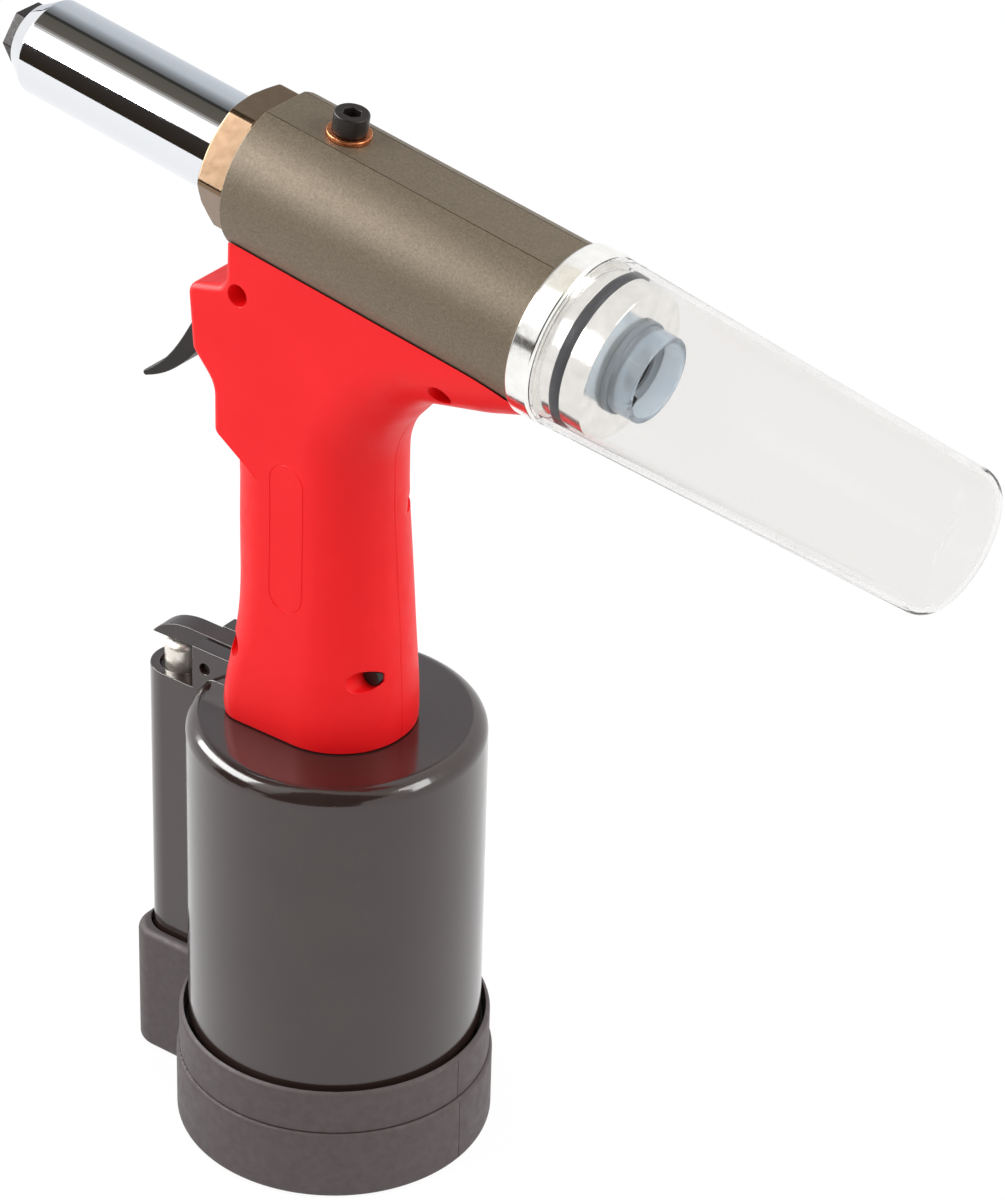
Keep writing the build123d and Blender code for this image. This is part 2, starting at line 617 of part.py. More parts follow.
def handle_shells():
    outside = grip_form() + upper_form()
    hollow = grip_form(SHELL_WALL) + upper_form(SHELL_WALL)
    inner_y = SHELL_HALF_WIDTH - SHELL_WALL / 2
    bosses = [crosswise(SCREW_BOSS_R, -inner_y, inner_y, x, z) for x, z in SCREW_PLACES]
    bosses.append(crosswise(SCREW_BOSS_R, -inner_y, inner_y, TRIGGER_PIVOT_X, TRIGGER_PIVOT_Z))
    shell = outside - hollow
    for boss in bosses:
        shell += boss & outside
    slot_half = TRIGGER_SLOT_HALF_WIDTH
    shell -= block(TRIGGER_SLOT_FRONT_X, TRIGGER_SLOT_REAR_X, slot_half, *TRIGGER_SLOT_Z)
    shell -= block(TRIGGER_SLOT_FRONT_X, TRIGGER_ARM_SLOT_REAR_X, slot_half, *TRIGGER_ARM_SLOT_Z)
    shell -= block(*LEVER_SLOT_X, LEVER_SLOT_HALF_WIDTH, SHELL_BASE_Z - CUT_MARGIN, LEVER_SLOT_TOP_Z)
    shell -= on_barrel(lengthwise(HEAD_R + SHELL_BARREL_GAP, -2 * HEAD_R, HEAD_REAR_S + HEAD_R))
    shell -= on_barrel(Pos(HEAD_REAR_S + WING_REAR_X, 0, 0) * Box(2 * WING_REAR_X, 4 * HEAD_R, 8 * HEAD_R))
    shell -= on_barrel(Pos(0, 0, 2 * HEAD_R) * Box(4 * WING_REAR_X, 4 * HEAD_R, 4 * HEAD_R))
    shell -= upright(NECK_R + LOOSE_GAP, SHELL_BASE_Z, BARREL_Z)
    shell -= upright(ROD_HOLE_R, SHELL_BASE_Z, ROD_HOLE_TOP_Z, x=ROD_X)
    shell -= crosswise(PIN_R + STATIC_GAP, -inner_y, inner_y, TRIGGER_PIVOT_X, TRIGGER_PIVOT_Z)
    for x, z in SCREW_PLACES:
        shell -= crosswise(SCREW_SHANK_R + STATIC_GAP, SCREW_HEAD_Y, SCREW_END_Y + CUT_MARGIN, x, z)
        shell -= crosswise(SCREW_RECESS_R, -2 * SHELL_HALF_WIDTH, SCREW_HEAD_Y, x, z)
    left = split(shell, bisect_by=Plane.XZ, keep=Keep.TOP)
    right = split(shell, bisect_by=Plane.XZ, keep=Keep.BOTTOM)
    return left, right


def shell_screws():
    screws = []
    for x, z in SCREW_PLACES:
        screw = crosswise(SCREW_SHANK_R, SCREW_HEAD_Y, SCREW_END_Y, x, z)
        screw += crosswise(SCREW_HEAD_R, SCREW_HEAD_Y - SCREW_HEAD_HEIGHT, SCREW_HEAD_Y, x, z)
        screws.append(screw)
    return Compound(screws)


def rod_fork(under_z):
    """The slot that lets the trigger rod hang between two prongs."""
    fork = block(ROD_X - FORK_WIDTH / 2, LEVER_TAIL_X, FORK_WIDTH / 2, -FORK_HEIGHT / 2, FORK_HEIGHT / 2)
    return Pos(0, 0, under_z) * fork


def trigger():
    blade = make_face([
        Spline((-34.0, 229.0), (-40.6, 219.0), (-47.0, 208.3), (-57.2, 198.2)),
        ThreePointArc((-57.2, 198.2), (-57.6, 197.1), (-56.4, 196.9)),
        Spline((-56.4, 196.9), (-47.9, 201.6), (-39.5, 210.2), (-33.5, 217.6)),
        Line((-33.5, 217.6), (TRIGGER_ARM_ROOT_X, TRIGGER_ARM_UNDER_Z)),
        Line((TRIGGER_ARM_ROOT_X, TRIGGER_ARM_UNDER_Z), (TRIGGER_ARM_ROOT_X, TRIGGER_ARM_TOP_Z)),
        Line((TRIGGER_ARM_ROOT_X, TRIGGER_ARM_TOP_Z), (TRIGGER_HEEL_X, TRIGGER_HEEL_TOP_Z)),
        Line((TRIGGER_HEEL_X, TRIGGER_HEEL_TOP_Z), (-34.0, 229.0)),
    ])
    body = extrude(Plane.XZ * blade, TRIGGER_HALF_WIDTH, both=True)
    body += block(TRIGGER_HEEL_X, LEVER_TAIL_X, TRIGGER_HALF_WIDTH, TRIGGER_ARM_UNDER_Z, TRIGGER_ARM_TOP_Z)
    body -= rod_fork(TRIGGER_ARM_UNDER_Z)
    pivot = (TRIGGER_PIVOT_X, TRIGGER_PIVOT_Z)
    return body - crosswise(PIN_R + RUNNING_GAP, -TRIGGER_HALF_WIDTH, TRIGGER_HALF_WIDTH, *pivot)


def trigger_pin():
    half_length = SHELL_HALF_WIDTH - SHELL_WALL - CUT_MARGIN
    return crosswise(PIN_R, -half_length, half_length, TRIGGER_PIVOT_X, TRIGGER_PIVOT_Z)


def trigger_rod():
    low = LEVER_TAIL_UNDER_Z - ROD_BALL_R - ROD_BALL_GAP
    high = TRIGGER_ARM_TOP_Z + ROD_BALL_R + ROD_BALL_GAP
    rod = upright(ROD_R, low, high, x=ROD_X)
    for z in (low, high):
        rod += Pos(ROD_X, 0, z) * Sphere(ROD_BALL_R)
    return rod


def lever():
    side = make_face([
        Spline((-57.3, 122.75), (-55.5, 124.6), (-53.5, 126.0), (-49.2, 127.65), (-43.8, 128.2)),
        Line((-43.8, 128.2), (LEVER_TAIL_X, LEVER_TAIL_TOP_Z)),
        Line((LEVER_TAIL_X, LEVER_TAIL_TOP_Z), (LEVER_TAIL_X, LEVER_TAIL_UNDER_Z)),
        Line((LEVER_TAIL_X, LEVER_TAIL_UNDER_Z), (-28.5, LEVER_TAIL_UNDER_Z)),
        Line((-28.5, LEVER_TAIL_UNDER_Z), (-33.0, LEVER_PIVOT_Z)),
        Line((-33.0, LEVER_PIVOT_Z), (-39.0, 123.0)),
        Line((-39.0, 123.0), (-57.3, 122.75)),
    ])
    body = extrude(Plane.XZ * side, LEVER_HALF_WIDTH, both=True)
    pivot = (LEVER_PIVOT_X, LEVER_PIVOT_Z)
    body += crosswise(2 * PIN_R, -LEVER_HALF_WIDTH, LEVER_HALF_WIDTH, *pivot)
    body -= rod_fork(LEVER_TAIL_UNDER_Z)
    return body - crosswise(PIN_R + RUNNING_GAP, -LEVER_HALF_WIDTH, LEVER_HALF_WIDTH, *pivot)


def lever_pin():
    half_length = VALVE_BOSS_R - LEVER_PIN_INSET
    return crosswise(PIN_R, -half_length, half_length, LEVER_PIVOT_X, LEVER_PIVOT_Z)


def valve_guide():
    bush = upright(VALVE_GUIDE_R - STATIC_GAP, VALVE_GUIDE_Z, VALVE_GUIDE_TOP_Z, x=VALVE_X)
    return bush - upright(STEM_R + RUNNING_GAP, VALVE_GUIDE_Z, VALVE_BOSS_TOP_Z, x=VALVE_X)


def valve_stem():
    button = upright(STEM_R, STEM_SHOULDER_Z, STEM_TOP_Z, x=VALVE_X)
    button = fillet(button.edges().sort_by(Axis.Z)[-1], STEM_DOME_R)
    stem = button + upright(STEM_NECK_R, POPPET_Z, STEM_SHOULDER_Z, x=VALVE_X)
    return stem + upright(POPPET_R, POPPET_Z, VALVE_SEAT_Z - SEAL_THICKNESS, x=VALVE_X)


def valve_seal():
    low = VALVE_SEAT_Z - SEAL_THICKNESS
    ring = upright(POPPET_R, low, VALVE_SEAT_Z - RUNNING_GAP, x=VALVE_X)
    return ring - upright(STEM_NECK_R + STATIC_GAP, low, VALVE_SEAT_Z, x=VALVE_X)


def valve_spring():
    length = POPPET_Z - VALVE_PLUG_TOP_Z - 2 * END_GAP
    spring = coil_spring(VALVE_SPRING_R, VALVE_SPRING_WIRE_R, length, VALVE_SPRING_TURNS)
    return Pos(VALVE_X, 0, VALVE_PLUG_TOP_Z + END_GAP) * spring


def valve_plug():
    plug = upright(VALVE_PLUG_R, CYLINDER_FOOT_Z, VALVE_PLUG_TOP_Z, x=VALVE_X)
    socket_top_z = CYLINDER_FOOT_Z + VALVE_PLUG_SOCKET_DEPTH
    socket = Pos(VALVE_X, 0, 0) * standing_hexagon(VALVE_PLUG_SOCKET_FLATS, CYLINDER_FOOT_Z, socket_top_z)
    return plug - socket - valve_plug_o_ring()


def valve_plug_o_ring():
    return standing_ring(VALVE_PLUG_SEAL_R, VALVE_PLUG_SEAL_WIRE_R, VALVE_PLUG_SEAL_Z, x=VALVE_X)


def lying_bush(radius, x_low, x_high, z):
    """A cylinder along X."""
    return Pos(x_low, 0, z) * Rot(0, 90, 0) * Cylinder(radius, x_high - x_low, align=STAND)


def air_inlet():
    bush = lying_bush(INLET_R, INLET_FRONT_X, INLET_REAR_X, INLET_Z)
    return bush - lying_bush(INLET_THREAD_R, INLET_FRONT_X, INLET_REAR_X, INLET_Z)


def boss_form(radius, z_low, z_high):
    """The valve boss in plan: a round front with flat sides that run back into the cylinder."""
    return upright(radius, z_low, z_high, x=VALVE_X) + block(VALVE_X, 0, radius, z_low, z_high)


def foot_form(front_x, half_width, z_low, z_high, corner_r):
    """A block in front of the cylinder with its two front corners rounded."""
    solid = block(front_x, 0, half_width, z_low, z_high)
    corners = solid.edges().filter_by(Axis.Z).sort_by(Axis.X)[:2]
    return fillet(corners, corner_r)


def air_passage():
    """The drilled way from over the valve seat down to the bottom of the cylinder."""
    start = Vector(PASSAGE_START[0], 0, PASSAGE_START[1])
    end = Vector(PASSAGE_END[0], 0, PASSAGE_END[1])
    plane = Plane(origin=start, z_dir=end - start)
    return plane * Cylinder(PASSAGE_R, (end - start).length, align=STAND)


def air_cylinder():
    body = upright(CYLINDER_R, CYLINDER_FOOT_Z, CYLINDER_TOP_Z)
    body = fillet(body.edges().sort_by(Axis.Z)[-1], CYLINDER_RIM_R)
    body += boss_form(VALVE_BOSS_R, CYLINDER_FOOT_Z, VALVE_BOSS_TOP_Z)
    body += foot_form(FOOT_FRONT_X, FOOT_HALF_WIDTH, CYLINDER_FOOT_Z, FOOT_TOP_Z, FOOT_CORNER_R)
    body += block(EAR_FRONT_X, EAR_REAR_X, VALVE_BOSS_R, EAR_ROOT_Z, EAR_TOP_Z)
    body -= block(EAR_FRONT_X - CUT_MARGIN, EAR_SLOT_REAR_X, EAR_INNER_Y, EAR_SLOT_FLOOR_Z, EAR_TOP_Z)
    body -= crosswise(PIN_R + STATIC_GAP, -CYLINDER_R, CYLINDER_R, LEVER_PIVOT_X, LEVER_PIVOT_Z)
    body -= upright(CYLINDER_BORE_R, CYLINDER_FOOT_Z, CYLINDER_ROOF_Z)
    body -= upright(CIRCLIP_GROOVE_R, CIRCLIP_Z, END_CAP_Z)
    body -= upright(NECK_R + STATIC_GAP, CYLINDER_ROOF_Z, CYLINDER_TOP_Z)
    body -= upright(VALVE_BORE_R, CYLINDER_FOOT_Z, VALVE_SEAT_Z, x=VALVE_X)
    body -= upright(VALVE_SEAT_R, VALVE_SEAT_Z, VALVE_SEAT_Z + VALVE_SEAT_DEPTH, x=VALVE_X)
    body -= upright(VALVE_BORE_R, VALVE_SEAT_Z + VALVE_SEAT_DEPTH, VALVE_GUIDE_Z, x=VALVE_X)
    body -= upright(VALVE_GUIDE_R, VALVE_GUIDE_Z, VALVE_BOSS_TOP_Z, x=VALVE_X)
    body -= lying_bush(INLET_R + STATIC_GAP, FOOT_FRONT_X - CUT_MARGIN, INLET_REAR_X, INLET_Z)
    body -= lying_bush(INLET_THREAD_R / 2, INLET_REAR_X, VALVE_X, INLET_Z)
    return body - air_passage()


def boot():
    lower = fillet(upright(BOOT_R, 0, BOOT_STEP_Z).edges(), BOOT_EDGE_R)
    collar = upright(BOOT_COLLAR_R, BOOT_STEP_Z - BOOT_EDGE_R, BOOT_COLLAR_TOP_Z)
    collar = fillet(collar.edges().sort_by(Axis.Z)[-1], BOOT_EDGE_R)
    toe = foot_form(BOOT_BLOCK_FRONT_X, BOOT_BLOCK_HALF_WIDTH, 0, BOOT_BLOCK_TOP_Z, BOOT_BLOCK_CORNER_R)
    rims = toe.edges().group_by(Axis.Z)
    toe = fillet(rims[-1], BOOT_BLOCK_RIM_R)
    toe = fillet(toe.edges().group_by(Axis.Z)[0], BOOT_EDGE_R)
    gap = STATIC_GAP
    rim_z = BOOT_BLOCK_TOP_Z + CUT_MARGIN
    skin = lower + collar + toe
    skin -= upright(CYLINDER_R + gap, BOOT_FLOOR, rim_z)
    foot_half = FOOT_HALF_WIDTH + gap
    skin -= foot_form(FOOT_FRONT_X - gap, foot_half, BOOT_FLOOR, FOOT_TOP_Z + gap, FOOT_CORNER_R)
    skin -= boss_form(VALVE_BOSS_R + gap, BOOT_FLOOR, FOOT_TOP_Z)
    skin -= boss_form(VALVE_BOSS_R + BOOT_BOSS_GAP, FOOT_TOP_Z, rim_z)
    return skin - lying_bush(INLET_R + gap, BOOT_BLOCK_FRONT_X - CUT_MARGIN, INLET_REAR_X, INLET_Z)


def end_cap():
    return upright(END_CAP_R, END_CAP_Z, END_CAP_TOP_Z) - end_cap_o_ring()


def end_cap_o_ring():
    return standing_ring(END_CAP_SEAL_R, END_CAP_SEAL_WIRE_R, (END_CAP_Z + END_CAP_TOP_Z) / 2)


def circlip():
    ring = upright(CIRCLIP_R, CIRCLIP_Z, CIRCLIP_Z + CIRCLIP_THICKNESS)
    ring -= upright(CIRCLIP_INNER_R, CIRCLIP_Z, CIRCLIP_Z + CIRCLIP_THICKNESS)
    return ring - block(0, CYLINDER_R, CIRCLIP_GAP / 2, CIRCLIP_Z, END_CAP_Z)


def bumper_ring():
    ring = upright(BUMPER_OUTER_R, END_CAP_TOP_Z, AIR_PISTON_Z - END_GAP)
    return ring - upright(BUMPER_INNER_R, END_CAP_TOP_Z, AIR_PISTON_Z)


AIR_PISTON_TOP_Z = AIR_PISTON_Z + AIR_PISTON_HEIGHT
AIR_SEAL_Z = AIR_PISTON_Z + (AIR_PISTON_HEIGHT - SEAL_THICKNESS) / 2
AIR_SEAL_INNER_R = AIR_PISTON_R - SEAL_DEPTH


def air_piston():
    disc = upright(AIR_PISTON_R, AIR_PISTON_Z, AIR_PISTON_TOP_Z)
    groove = upright(AIR_PISTON_R, AIR_SEAL_Z, AIR_SEAL_Z + SEAL_THICKNESS)
    disc -= groove - upright(AIR_SEAL_INNER_R, AIR_SEAL_Z, AIR_SEAL_Z + SEAL_THICKNESS)
    disc -= upright(RAM_THREAD_R + STATIC_GAP, AIR_PISTON_Z, AIR_PISTON_TOP_Z)
    return disc - upright(PISTON_NUT_POCKET_R, AIR_PISTON_Z, PISTON_NUT_Z + PISTON_NUT_HEIGHT)


def air_piston_seal():
    ring = upright(CYLINDER_BORE_R - RUNNING_GAP, AIR_SEAL_Z, AIR_SEAL_Z + SEAL_THICKNESS)
    return ring - upright(AIR_SEAL_INNER_R, AIR_SEAL_Z, AIR_SEAL_Z + SEAL_THICKNESS)


def piston_nut():
    nut = standing_hexagon(PISTON_NUT_FLATS, PISTON_NUT_Z, PISTON_NUT_Z + PISTON_NUT_HEIGHT)
    return nut - upright(RAM_THREAD_R + STATIC_GAP, PISTON_NUT_Z, AIR_PISTON_TOP_Z)


def ram_rod():
    rod = upright(RAM_R, AIR_PISTON_TOP_Z, RAM_TOP_Z)
    rod = chamfer(rod.edges().sort_by(Axis.Z)[-1], RAM_CHAMFER)
    return rod + upright(RAM_THREAD_R, PISTON_NUT_Z, AIR_PISTON_TOP_Z)


def ram_gland():
    bush = upright(GLAND_R - STATIC_GAP, NECK_FOOT_Z, GLAND_TOP_Z)
    bush -= upright(RAM_R + RUNNING_GAP, NECK_FOOT_Z, GLAND_TOP_Z)
    return bush - upright(RAM_SEAL_R, RAM_SEAL_Z, RAM_SEAL_Z + SEAL_THICKNESS)


def ram_seal():
    ring = upright(RAM_SEAL_R, RAM_SEAL_Z, RAM_SEAL_Z + SEAL_THICKNESS)
    return ring - upright(RAM_R + RUNNING_GAP, RAM_SEAL_Z, RAM_SEAL_Z + SEAL_THICKNESS)


def cylinder_nut():
    nut = standing_hexagon(CYLINDER_NUT_FLATS, CYLINDER_NUT_Z, CYLINDER_ROOF_Z)
    return nut - upright(NECK_R + STATIC_GAP, NECK_FOOT_Z, CYLINDER_ROOF_Z)


PLAIN_NODES = [
    nosepiece, front_sleeve, lock_nut, head_frame, oil_plug_washer, oil_plug_screw, rod_gland, rod_seal,
    hydraulic_piston, hydraulic_piston_seal, return_spring, jaw_case, jaws, jaw_pusher, jaw_spring,
    rear_cap, collector_o_ring, mandrel_guide, collector_bottle, shell_screws, trigger, trigger_pin,
    trigger_rod, lever, lever_pin, valve_guide, valve_stem, valve_seal, valve_spring, valve_plug,
    valve_plug_o_ring, air_inlet, air_cylinder, boot, end_cap, end_cap_o_ring, circlip, bumper_ring,
    air_piston, air_piston_seal, piston_nut, ram_rod, ram_gland, ram_seal, cylinder_nut,
]

os.makedirs("parts", exist_ok=True)
for make_piece in PLAIN_NODES:
    export_step(make_piece(), f"parts/{make_piece.__name__}.step")
left_shell, right_shell = handle_shells()
export_step(left_shell, "parts/handle_shell_left.step")
export_step(right_shell, "parts/handle_shell_right.step")
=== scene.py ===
import math

import bmesh
import bpy
from mathutils import Matrix, Vector
from mathutils.bvhtree import BVHTree


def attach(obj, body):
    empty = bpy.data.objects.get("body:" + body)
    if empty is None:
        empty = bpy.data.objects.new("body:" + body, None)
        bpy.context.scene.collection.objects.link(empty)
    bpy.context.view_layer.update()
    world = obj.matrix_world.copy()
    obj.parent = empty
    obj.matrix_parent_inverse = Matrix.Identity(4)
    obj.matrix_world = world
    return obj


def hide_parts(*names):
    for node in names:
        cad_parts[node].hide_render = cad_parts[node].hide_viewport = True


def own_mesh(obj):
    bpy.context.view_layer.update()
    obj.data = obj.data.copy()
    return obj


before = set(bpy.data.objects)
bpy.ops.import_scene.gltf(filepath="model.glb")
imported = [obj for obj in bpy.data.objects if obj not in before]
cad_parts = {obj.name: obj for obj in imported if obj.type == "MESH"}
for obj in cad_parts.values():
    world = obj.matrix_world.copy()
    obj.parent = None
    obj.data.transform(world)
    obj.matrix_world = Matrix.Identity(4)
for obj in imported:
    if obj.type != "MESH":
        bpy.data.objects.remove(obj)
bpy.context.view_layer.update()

# Rubber boot: one moulding of black rubber, stretched over the foot of the cylinder and its valve foot.
# A thick lower band and a thinner collar meet in a step, and a fine seam shows where the mould closed.

MM = 0.001
WELD = 1e-6
FLAT = math.radians(0.5)
SHARP = math.radians(28)
CUT_EDGE = math.radians(60)


def srgb(red, green, blue):
    """A screen colour of 0 to 255 as the linear colour that a shader takes."""
    linear = []
    for level in (red, green, blue):
        share = level / 255
        linear.append(share / 12.92 if share <= 0.04045 else ((share + 0.055) / 1.055) ** 2.4)
    return (*linear, 1.0)


def finish_of(name, colour, roughness, metallic=0.0, more=None):
    """A new material with its plain values set on the shader, and more of them by their sockets' names."""
    material = bpy.data.materials.new(name)
    material.use_nodes = True
    shader = material.node_tree.nodes["Principled BSDF"]
    values = {"Base Color": colour, "Roughness": roughness, "Metallic": metallic, **(more or {})}
    for socket, value in values.items():
        shader.inputs[socket].default_value = value
    return material


def noise_on(material, size, detail=3.0, stretch=(1, 1, 1), turn=(0, 0, 0)):
    """A noise with blotches of the given size in metres, drawn out along an axis by a stretch below 1."""
    tree = material.node_tree
    place = tree.nodes.new("ShaderNodeTexCoord")
    mapping = tree.nodes.new("ShaderNodeMapping")
    mapping.inputs["Rotation"].default_value = turn
    mapping.inputs["Scale"].default_value = stretch
    noise = tree.nodes.new("ShaderNodeTexNoise")
    noise.inputs["Scale"].default_value = 1 / size
    noise.inputs["Detail"].default_value = detail
    tree.links.new(place.outputs["Object"], mapping.inputs["Vector"])
    tree.links.new(mapping.outputs["Vector"], noise.inputs["Vector"])
    return noise.outputs["Fac"]


def mottle(material, size, dark, light, low=0.35, high=0.65, **noise):
    """Lets the colour wander between a dark and a light tone, in blotches of the given size."""
    tree = material.node_tree
    ramp = tree.nodes.new("ShaderNodeValToRGB")
    ramp.color_ramp.elements[0].position = low
    ramp.color_ramp.elements[0].color = dark
    ramp.color_ramp.elements[1].position = high
    ramp.color_ramp.elements[1].color = light
    tree.links.new(noise_on(material, size, **noise), ramp.inputs["Fac"])
    tree.links.new(ramp.outputs["Color"], tree.nodes["Principled BSDF"].inputs["Base Color"])


def wear(material, size, smooth, rough, low=0.3, high=0.7, **noise):
    """Lets the roughness wander between two levels, in blotches of the given size."""
    tree = material.node_tree
    level = tree.nodes.new("ShaderNodeMapRange")
    level.inputs["From Min"].default_value = low
    level.inputs["From Max"].default_value = high
    level.inputs["To Min"].default_value = smooth
    level.inputs["To Max"].default_value = rough
    tree.links.new(noise_on(material, size, **noise), level.inputs["Value"])
    tree.links.new(level.outputs["Result"], tree.nodes["Principled BSDF"].inputs["Roughness"])


def grain(material, size, depth, strength, **noise):
    """A fine relief, as deep as the given metres, with grains of the given size."""
    tree = material.node_tree
    bump = tree.nodes.new("ShaderNodeBump")
    bump.inputs["Strength"].default_value = strength
    bump.inputs["Distance"].default_value = depth
    tree.links.new(noise_on(material, size, **noise), bump.inputs["Height"])
    tree.links.new(bump.outputs["Normal"], tree.nodes["Principled BSDF"].inputs["Normal"])


def weld(mesh, hard):
    """Joins a mesh's loose triangles, makes flat faces whole and shades it smooth up to its hard edges."""
    loose_normals = mesh.attributes.get("custom_normal")
    if loose_normals:
        mesh.attributes.remove(loose_normals)
    shape = bmesh.new()
    shape.from_mesh(mesh)
    bmesh.ops.remove_doubles(shape, verts=shape.verts, dist=WELD)
    bmesh.ops.dissolve_limit(shape, angle_limit=FLAT, verts=shape.verts, edges=shape.edges)
    shape.to_mesh(mesh)
    shape.free()
    mesh.shade_smooth()
    mesh.set_sharp_from_angle(angle=hard)
    return mesh


def solid_copy(node, hard=SHARP):
    """A welded copy of a node's solid."""
    return weld(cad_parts[node].data.copy(), hard)


def eased(mesh, width, segments, hard):
    """Rounds every hard edge of a mesh to a narrow curve of the given width."""
    shape = bmesh.new()
    shape.from_mesh(mesh)
    edges = [edge for edge in shape.edges if edge.is_manifold and edge.calc_face_angle() > hard]
    bmesh.ops.bevel(shape, geom=edges, offset=width, offset_type="OFFSET", segments=segments, profile=0.5,
                    affect="EDGES", clamp_overlap=False)
    for edge in shape.edges:
        edge.smooth = True
    shape.to_mesh(mesh)
    shape.free()
    return mesh


def as_object(name, mesh):
    """A new object of a mesh, in the scene."""
    thing = bpy.data.objects.new(name, mesh)
    bpy.context.scene.collection.objects.link(thing)
    return thing


def outward(mesh):
    """Turns every face of a closed mesh to the outside."""
    shape = bmesh.new()
    shape.from_mesh(mesh)
    bmesh.ops.remove_doubles(shape, verts=shape.verts, dist=WELD)
    bmesh.ops.recalc_face_normals(shape, faces=shape.faces)
    shape.to_mesh(mesh)
    shape.free()
    return mesh


def carved(mesh, *cutters):
    """A mesh with the shapes of some closed cutters taken out of it."""
    block = as_object("block", mesh)
    tools = [as_object("cutter", outward(cutter)) for cutter in cutters]
    for tool in tools:
        cut = block.modifiers.new("cut", "BOOLEAN")
        cut.operation = "DIFFERENCE"
        cut.solver = "MANIFOLD"
        cut.object = tool
    bpy.context.view_layer.update()
    result = bpy.data.meshes.new_from_object(block.evaluated_get(bpy.context.evaluated_depsgraph_get()))
    for used in (block, *tools):
        bpy.data.objects.remove(used)
    result.set_sharp_from_angle(angle=CUT_EDGE)
    return result


def put(name, mesh, material, body, slot, *nodes):
    """Makes a piece of a mesh in its place, with its finish, its body and the nodes that it stands for."""
    mesh.materials.clear()
    mesh.materials.append(material)
    piece = as_object(name, mesh)
    shading = piece.modifiers.new("flat_faces", "WEIGHTED_NORMAL")
    shading.keep_sharp = True
    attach(piece, body)
    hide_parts(*nodes)
    return piece


def dress(name, node, material, slot, body="casing", edge=0.2, segments=2, cutters=(), hard=SHARP):
    """Makes a piece of a node's own solid, with its edges eased by some millimetres and its cuts made."""
    mesh = solid_copy(node, hard)
    if edge:
        mesh = eased(mesh, edge * MM, segments, hard)
    if cutters:
        mesh = carved(mesh, *cutters)
    return put(name, mesh, material, body, slot, node)


TURN_STEPS = 240
BOOT_R = 40.7
COLLAR_R = 39.9
COLLAR_TOP_Z = 32.4
STEP_Z = 20.2
LIP_GROOVE = [(37.1, 27.5), (38.0, 27.5), (38.9, 32.7), (37.1, 32.7)]
STEP_GROOVE = [(39.45, 19.85), (40.5, 19.85), (40.5, 20.3), (39.45, 20.3)]
SEAM_WIDTH = 0.2
SEAM_DEPTH = 0.12
SEAM_STOP = 0.8
STEP_CLEAR = 0.2
PROUD = 1.0


def turned(outline):
    """A closed ring, turned about Z from a closed outline of radius and height in millimetres."""
    corners = len(outline)
    points = []
    for step in range(TURN_STEPS):
        angle = 2 * math.pi * step / TURN_STEPS
        points += [(r * MM * math.cos(angle), r * MM * math.sin(angle), z * MM) for r, z in outline]
    faces = []
    for step in range(TURN_STEPS):
        here, there = step * corners, (step + 1) % TURN_STEPS * corners
        for corner in range(corners):
            after = (corner + 1) % corners
            faces.append((here + corner, there + corner, there + after, here + after))
    ring = bpy.data.meshes.new("ring")
    ring.from_pydata(points, [], faces)
    return ring


def boxed(low, high):
    """A box between two corners in millimetres."""
    spans_x, spans_y, spans_z = zip(low, high)
    points = [(x * MM, y * MM, z * MM) for x in spans_x for y in spans_y for z in spans_z]
    faces = [(0, 1, 3, 2), (4, 6, 7, 5), (0, 4, 5, 1), (2, 3, 7, 6), (0, 2, 6, 4), (1, 5, 7, 3)]
    box = bpy.data.meshes.new("box")
    box.from_pydata(points, [], faces)
    return box


boot_rubber = finish_of("boot_rubber", srgb(85, 75, 75), roughness=0.6)
mottle(boot_rubber, 2 * MM, dark=srgb(82, 72, 72), light=srgb(88, 78, 78), detail=5)
wear(boot_rubber, 3 * MM, smooth=0.5, rough=0.66)
grain(boot_rubber, 0.35 * MM, depth=0.04 * MM, strength=0.5, detail=4)
seams = []
for radius, foot_z, top_z in ((BOOT_R, -PROUD, STEP_Z), (COLLAR_R, STEP_Z + STEP_CLEAR, COLLAR_TOP_Z)):
    low = (radius - SEAM_DEPTH, -SEAM_WIDTH / 2, foot_z)
    seams.append(boxed(low, (radius + PROUD, SEAM_WIDTH / 2, top_z - SEAM_STOP)))
dress("rubber_boot", "boot", boot_rubber, "boot_rubber", edge=0,
      cutters=[turned(LIP_GROOVE), turned(STEP_GROOVE), *seams])

# Air cylinder: a light alloy casting in gloss black enamel, with the valve boss down its front and two ears
# on its shoulder for the lever's pin. The bore, valve seat and air ways are machined out of it.

black_enamel = finish_of("black_enamel", srgb(52, 39, 36), roughness=0.16,
                         more={"Specular IOR Level": 0.6, "Coat Weight": 0.4, "Coat Roughness": 0.1})
mottle(black_enamel, 25 * MM, dark=srgb(49, 36, 33), light=srgb(55, 42, 39), detail=4)
wear(black_enamel, 6 * MM, smooth=0.12, rough=0.2, detail=5)
grain(black_enamel, 1.1 * MM, depth=0.015 * MM, strength=0.4, detail=2)
dress("cylinder_casting", "air_cylinder", black_enamel, "black_casting", edge=0.3)

# Inlet bush: turned brass, pressed into the front of the valve foot. It is threaded inside for the fitting
# of the air line.

turned_brass = finish_of("turned_brass", srgb(205, 172, 104), roughness=0.3, metallic=1.0)
mottle(turned_brass, 2 * MM, dark=srgb(186, 150, 84), light=srgb(214, 184, 120), detail=5)
wear(turned_brass, 0.5 * MM, smooth=0.22, rough=0.4, stretch=(1, 0.1, 0.1))
dress("inlet_bush", "air_inlet", turned_brass, "bearing_brass", edge=0.3)

# Bottom of the cylinder: an aluminium cap with its O-ring, held up by a spring steel circlip, and a rubber
# ring that the air piston lands on.

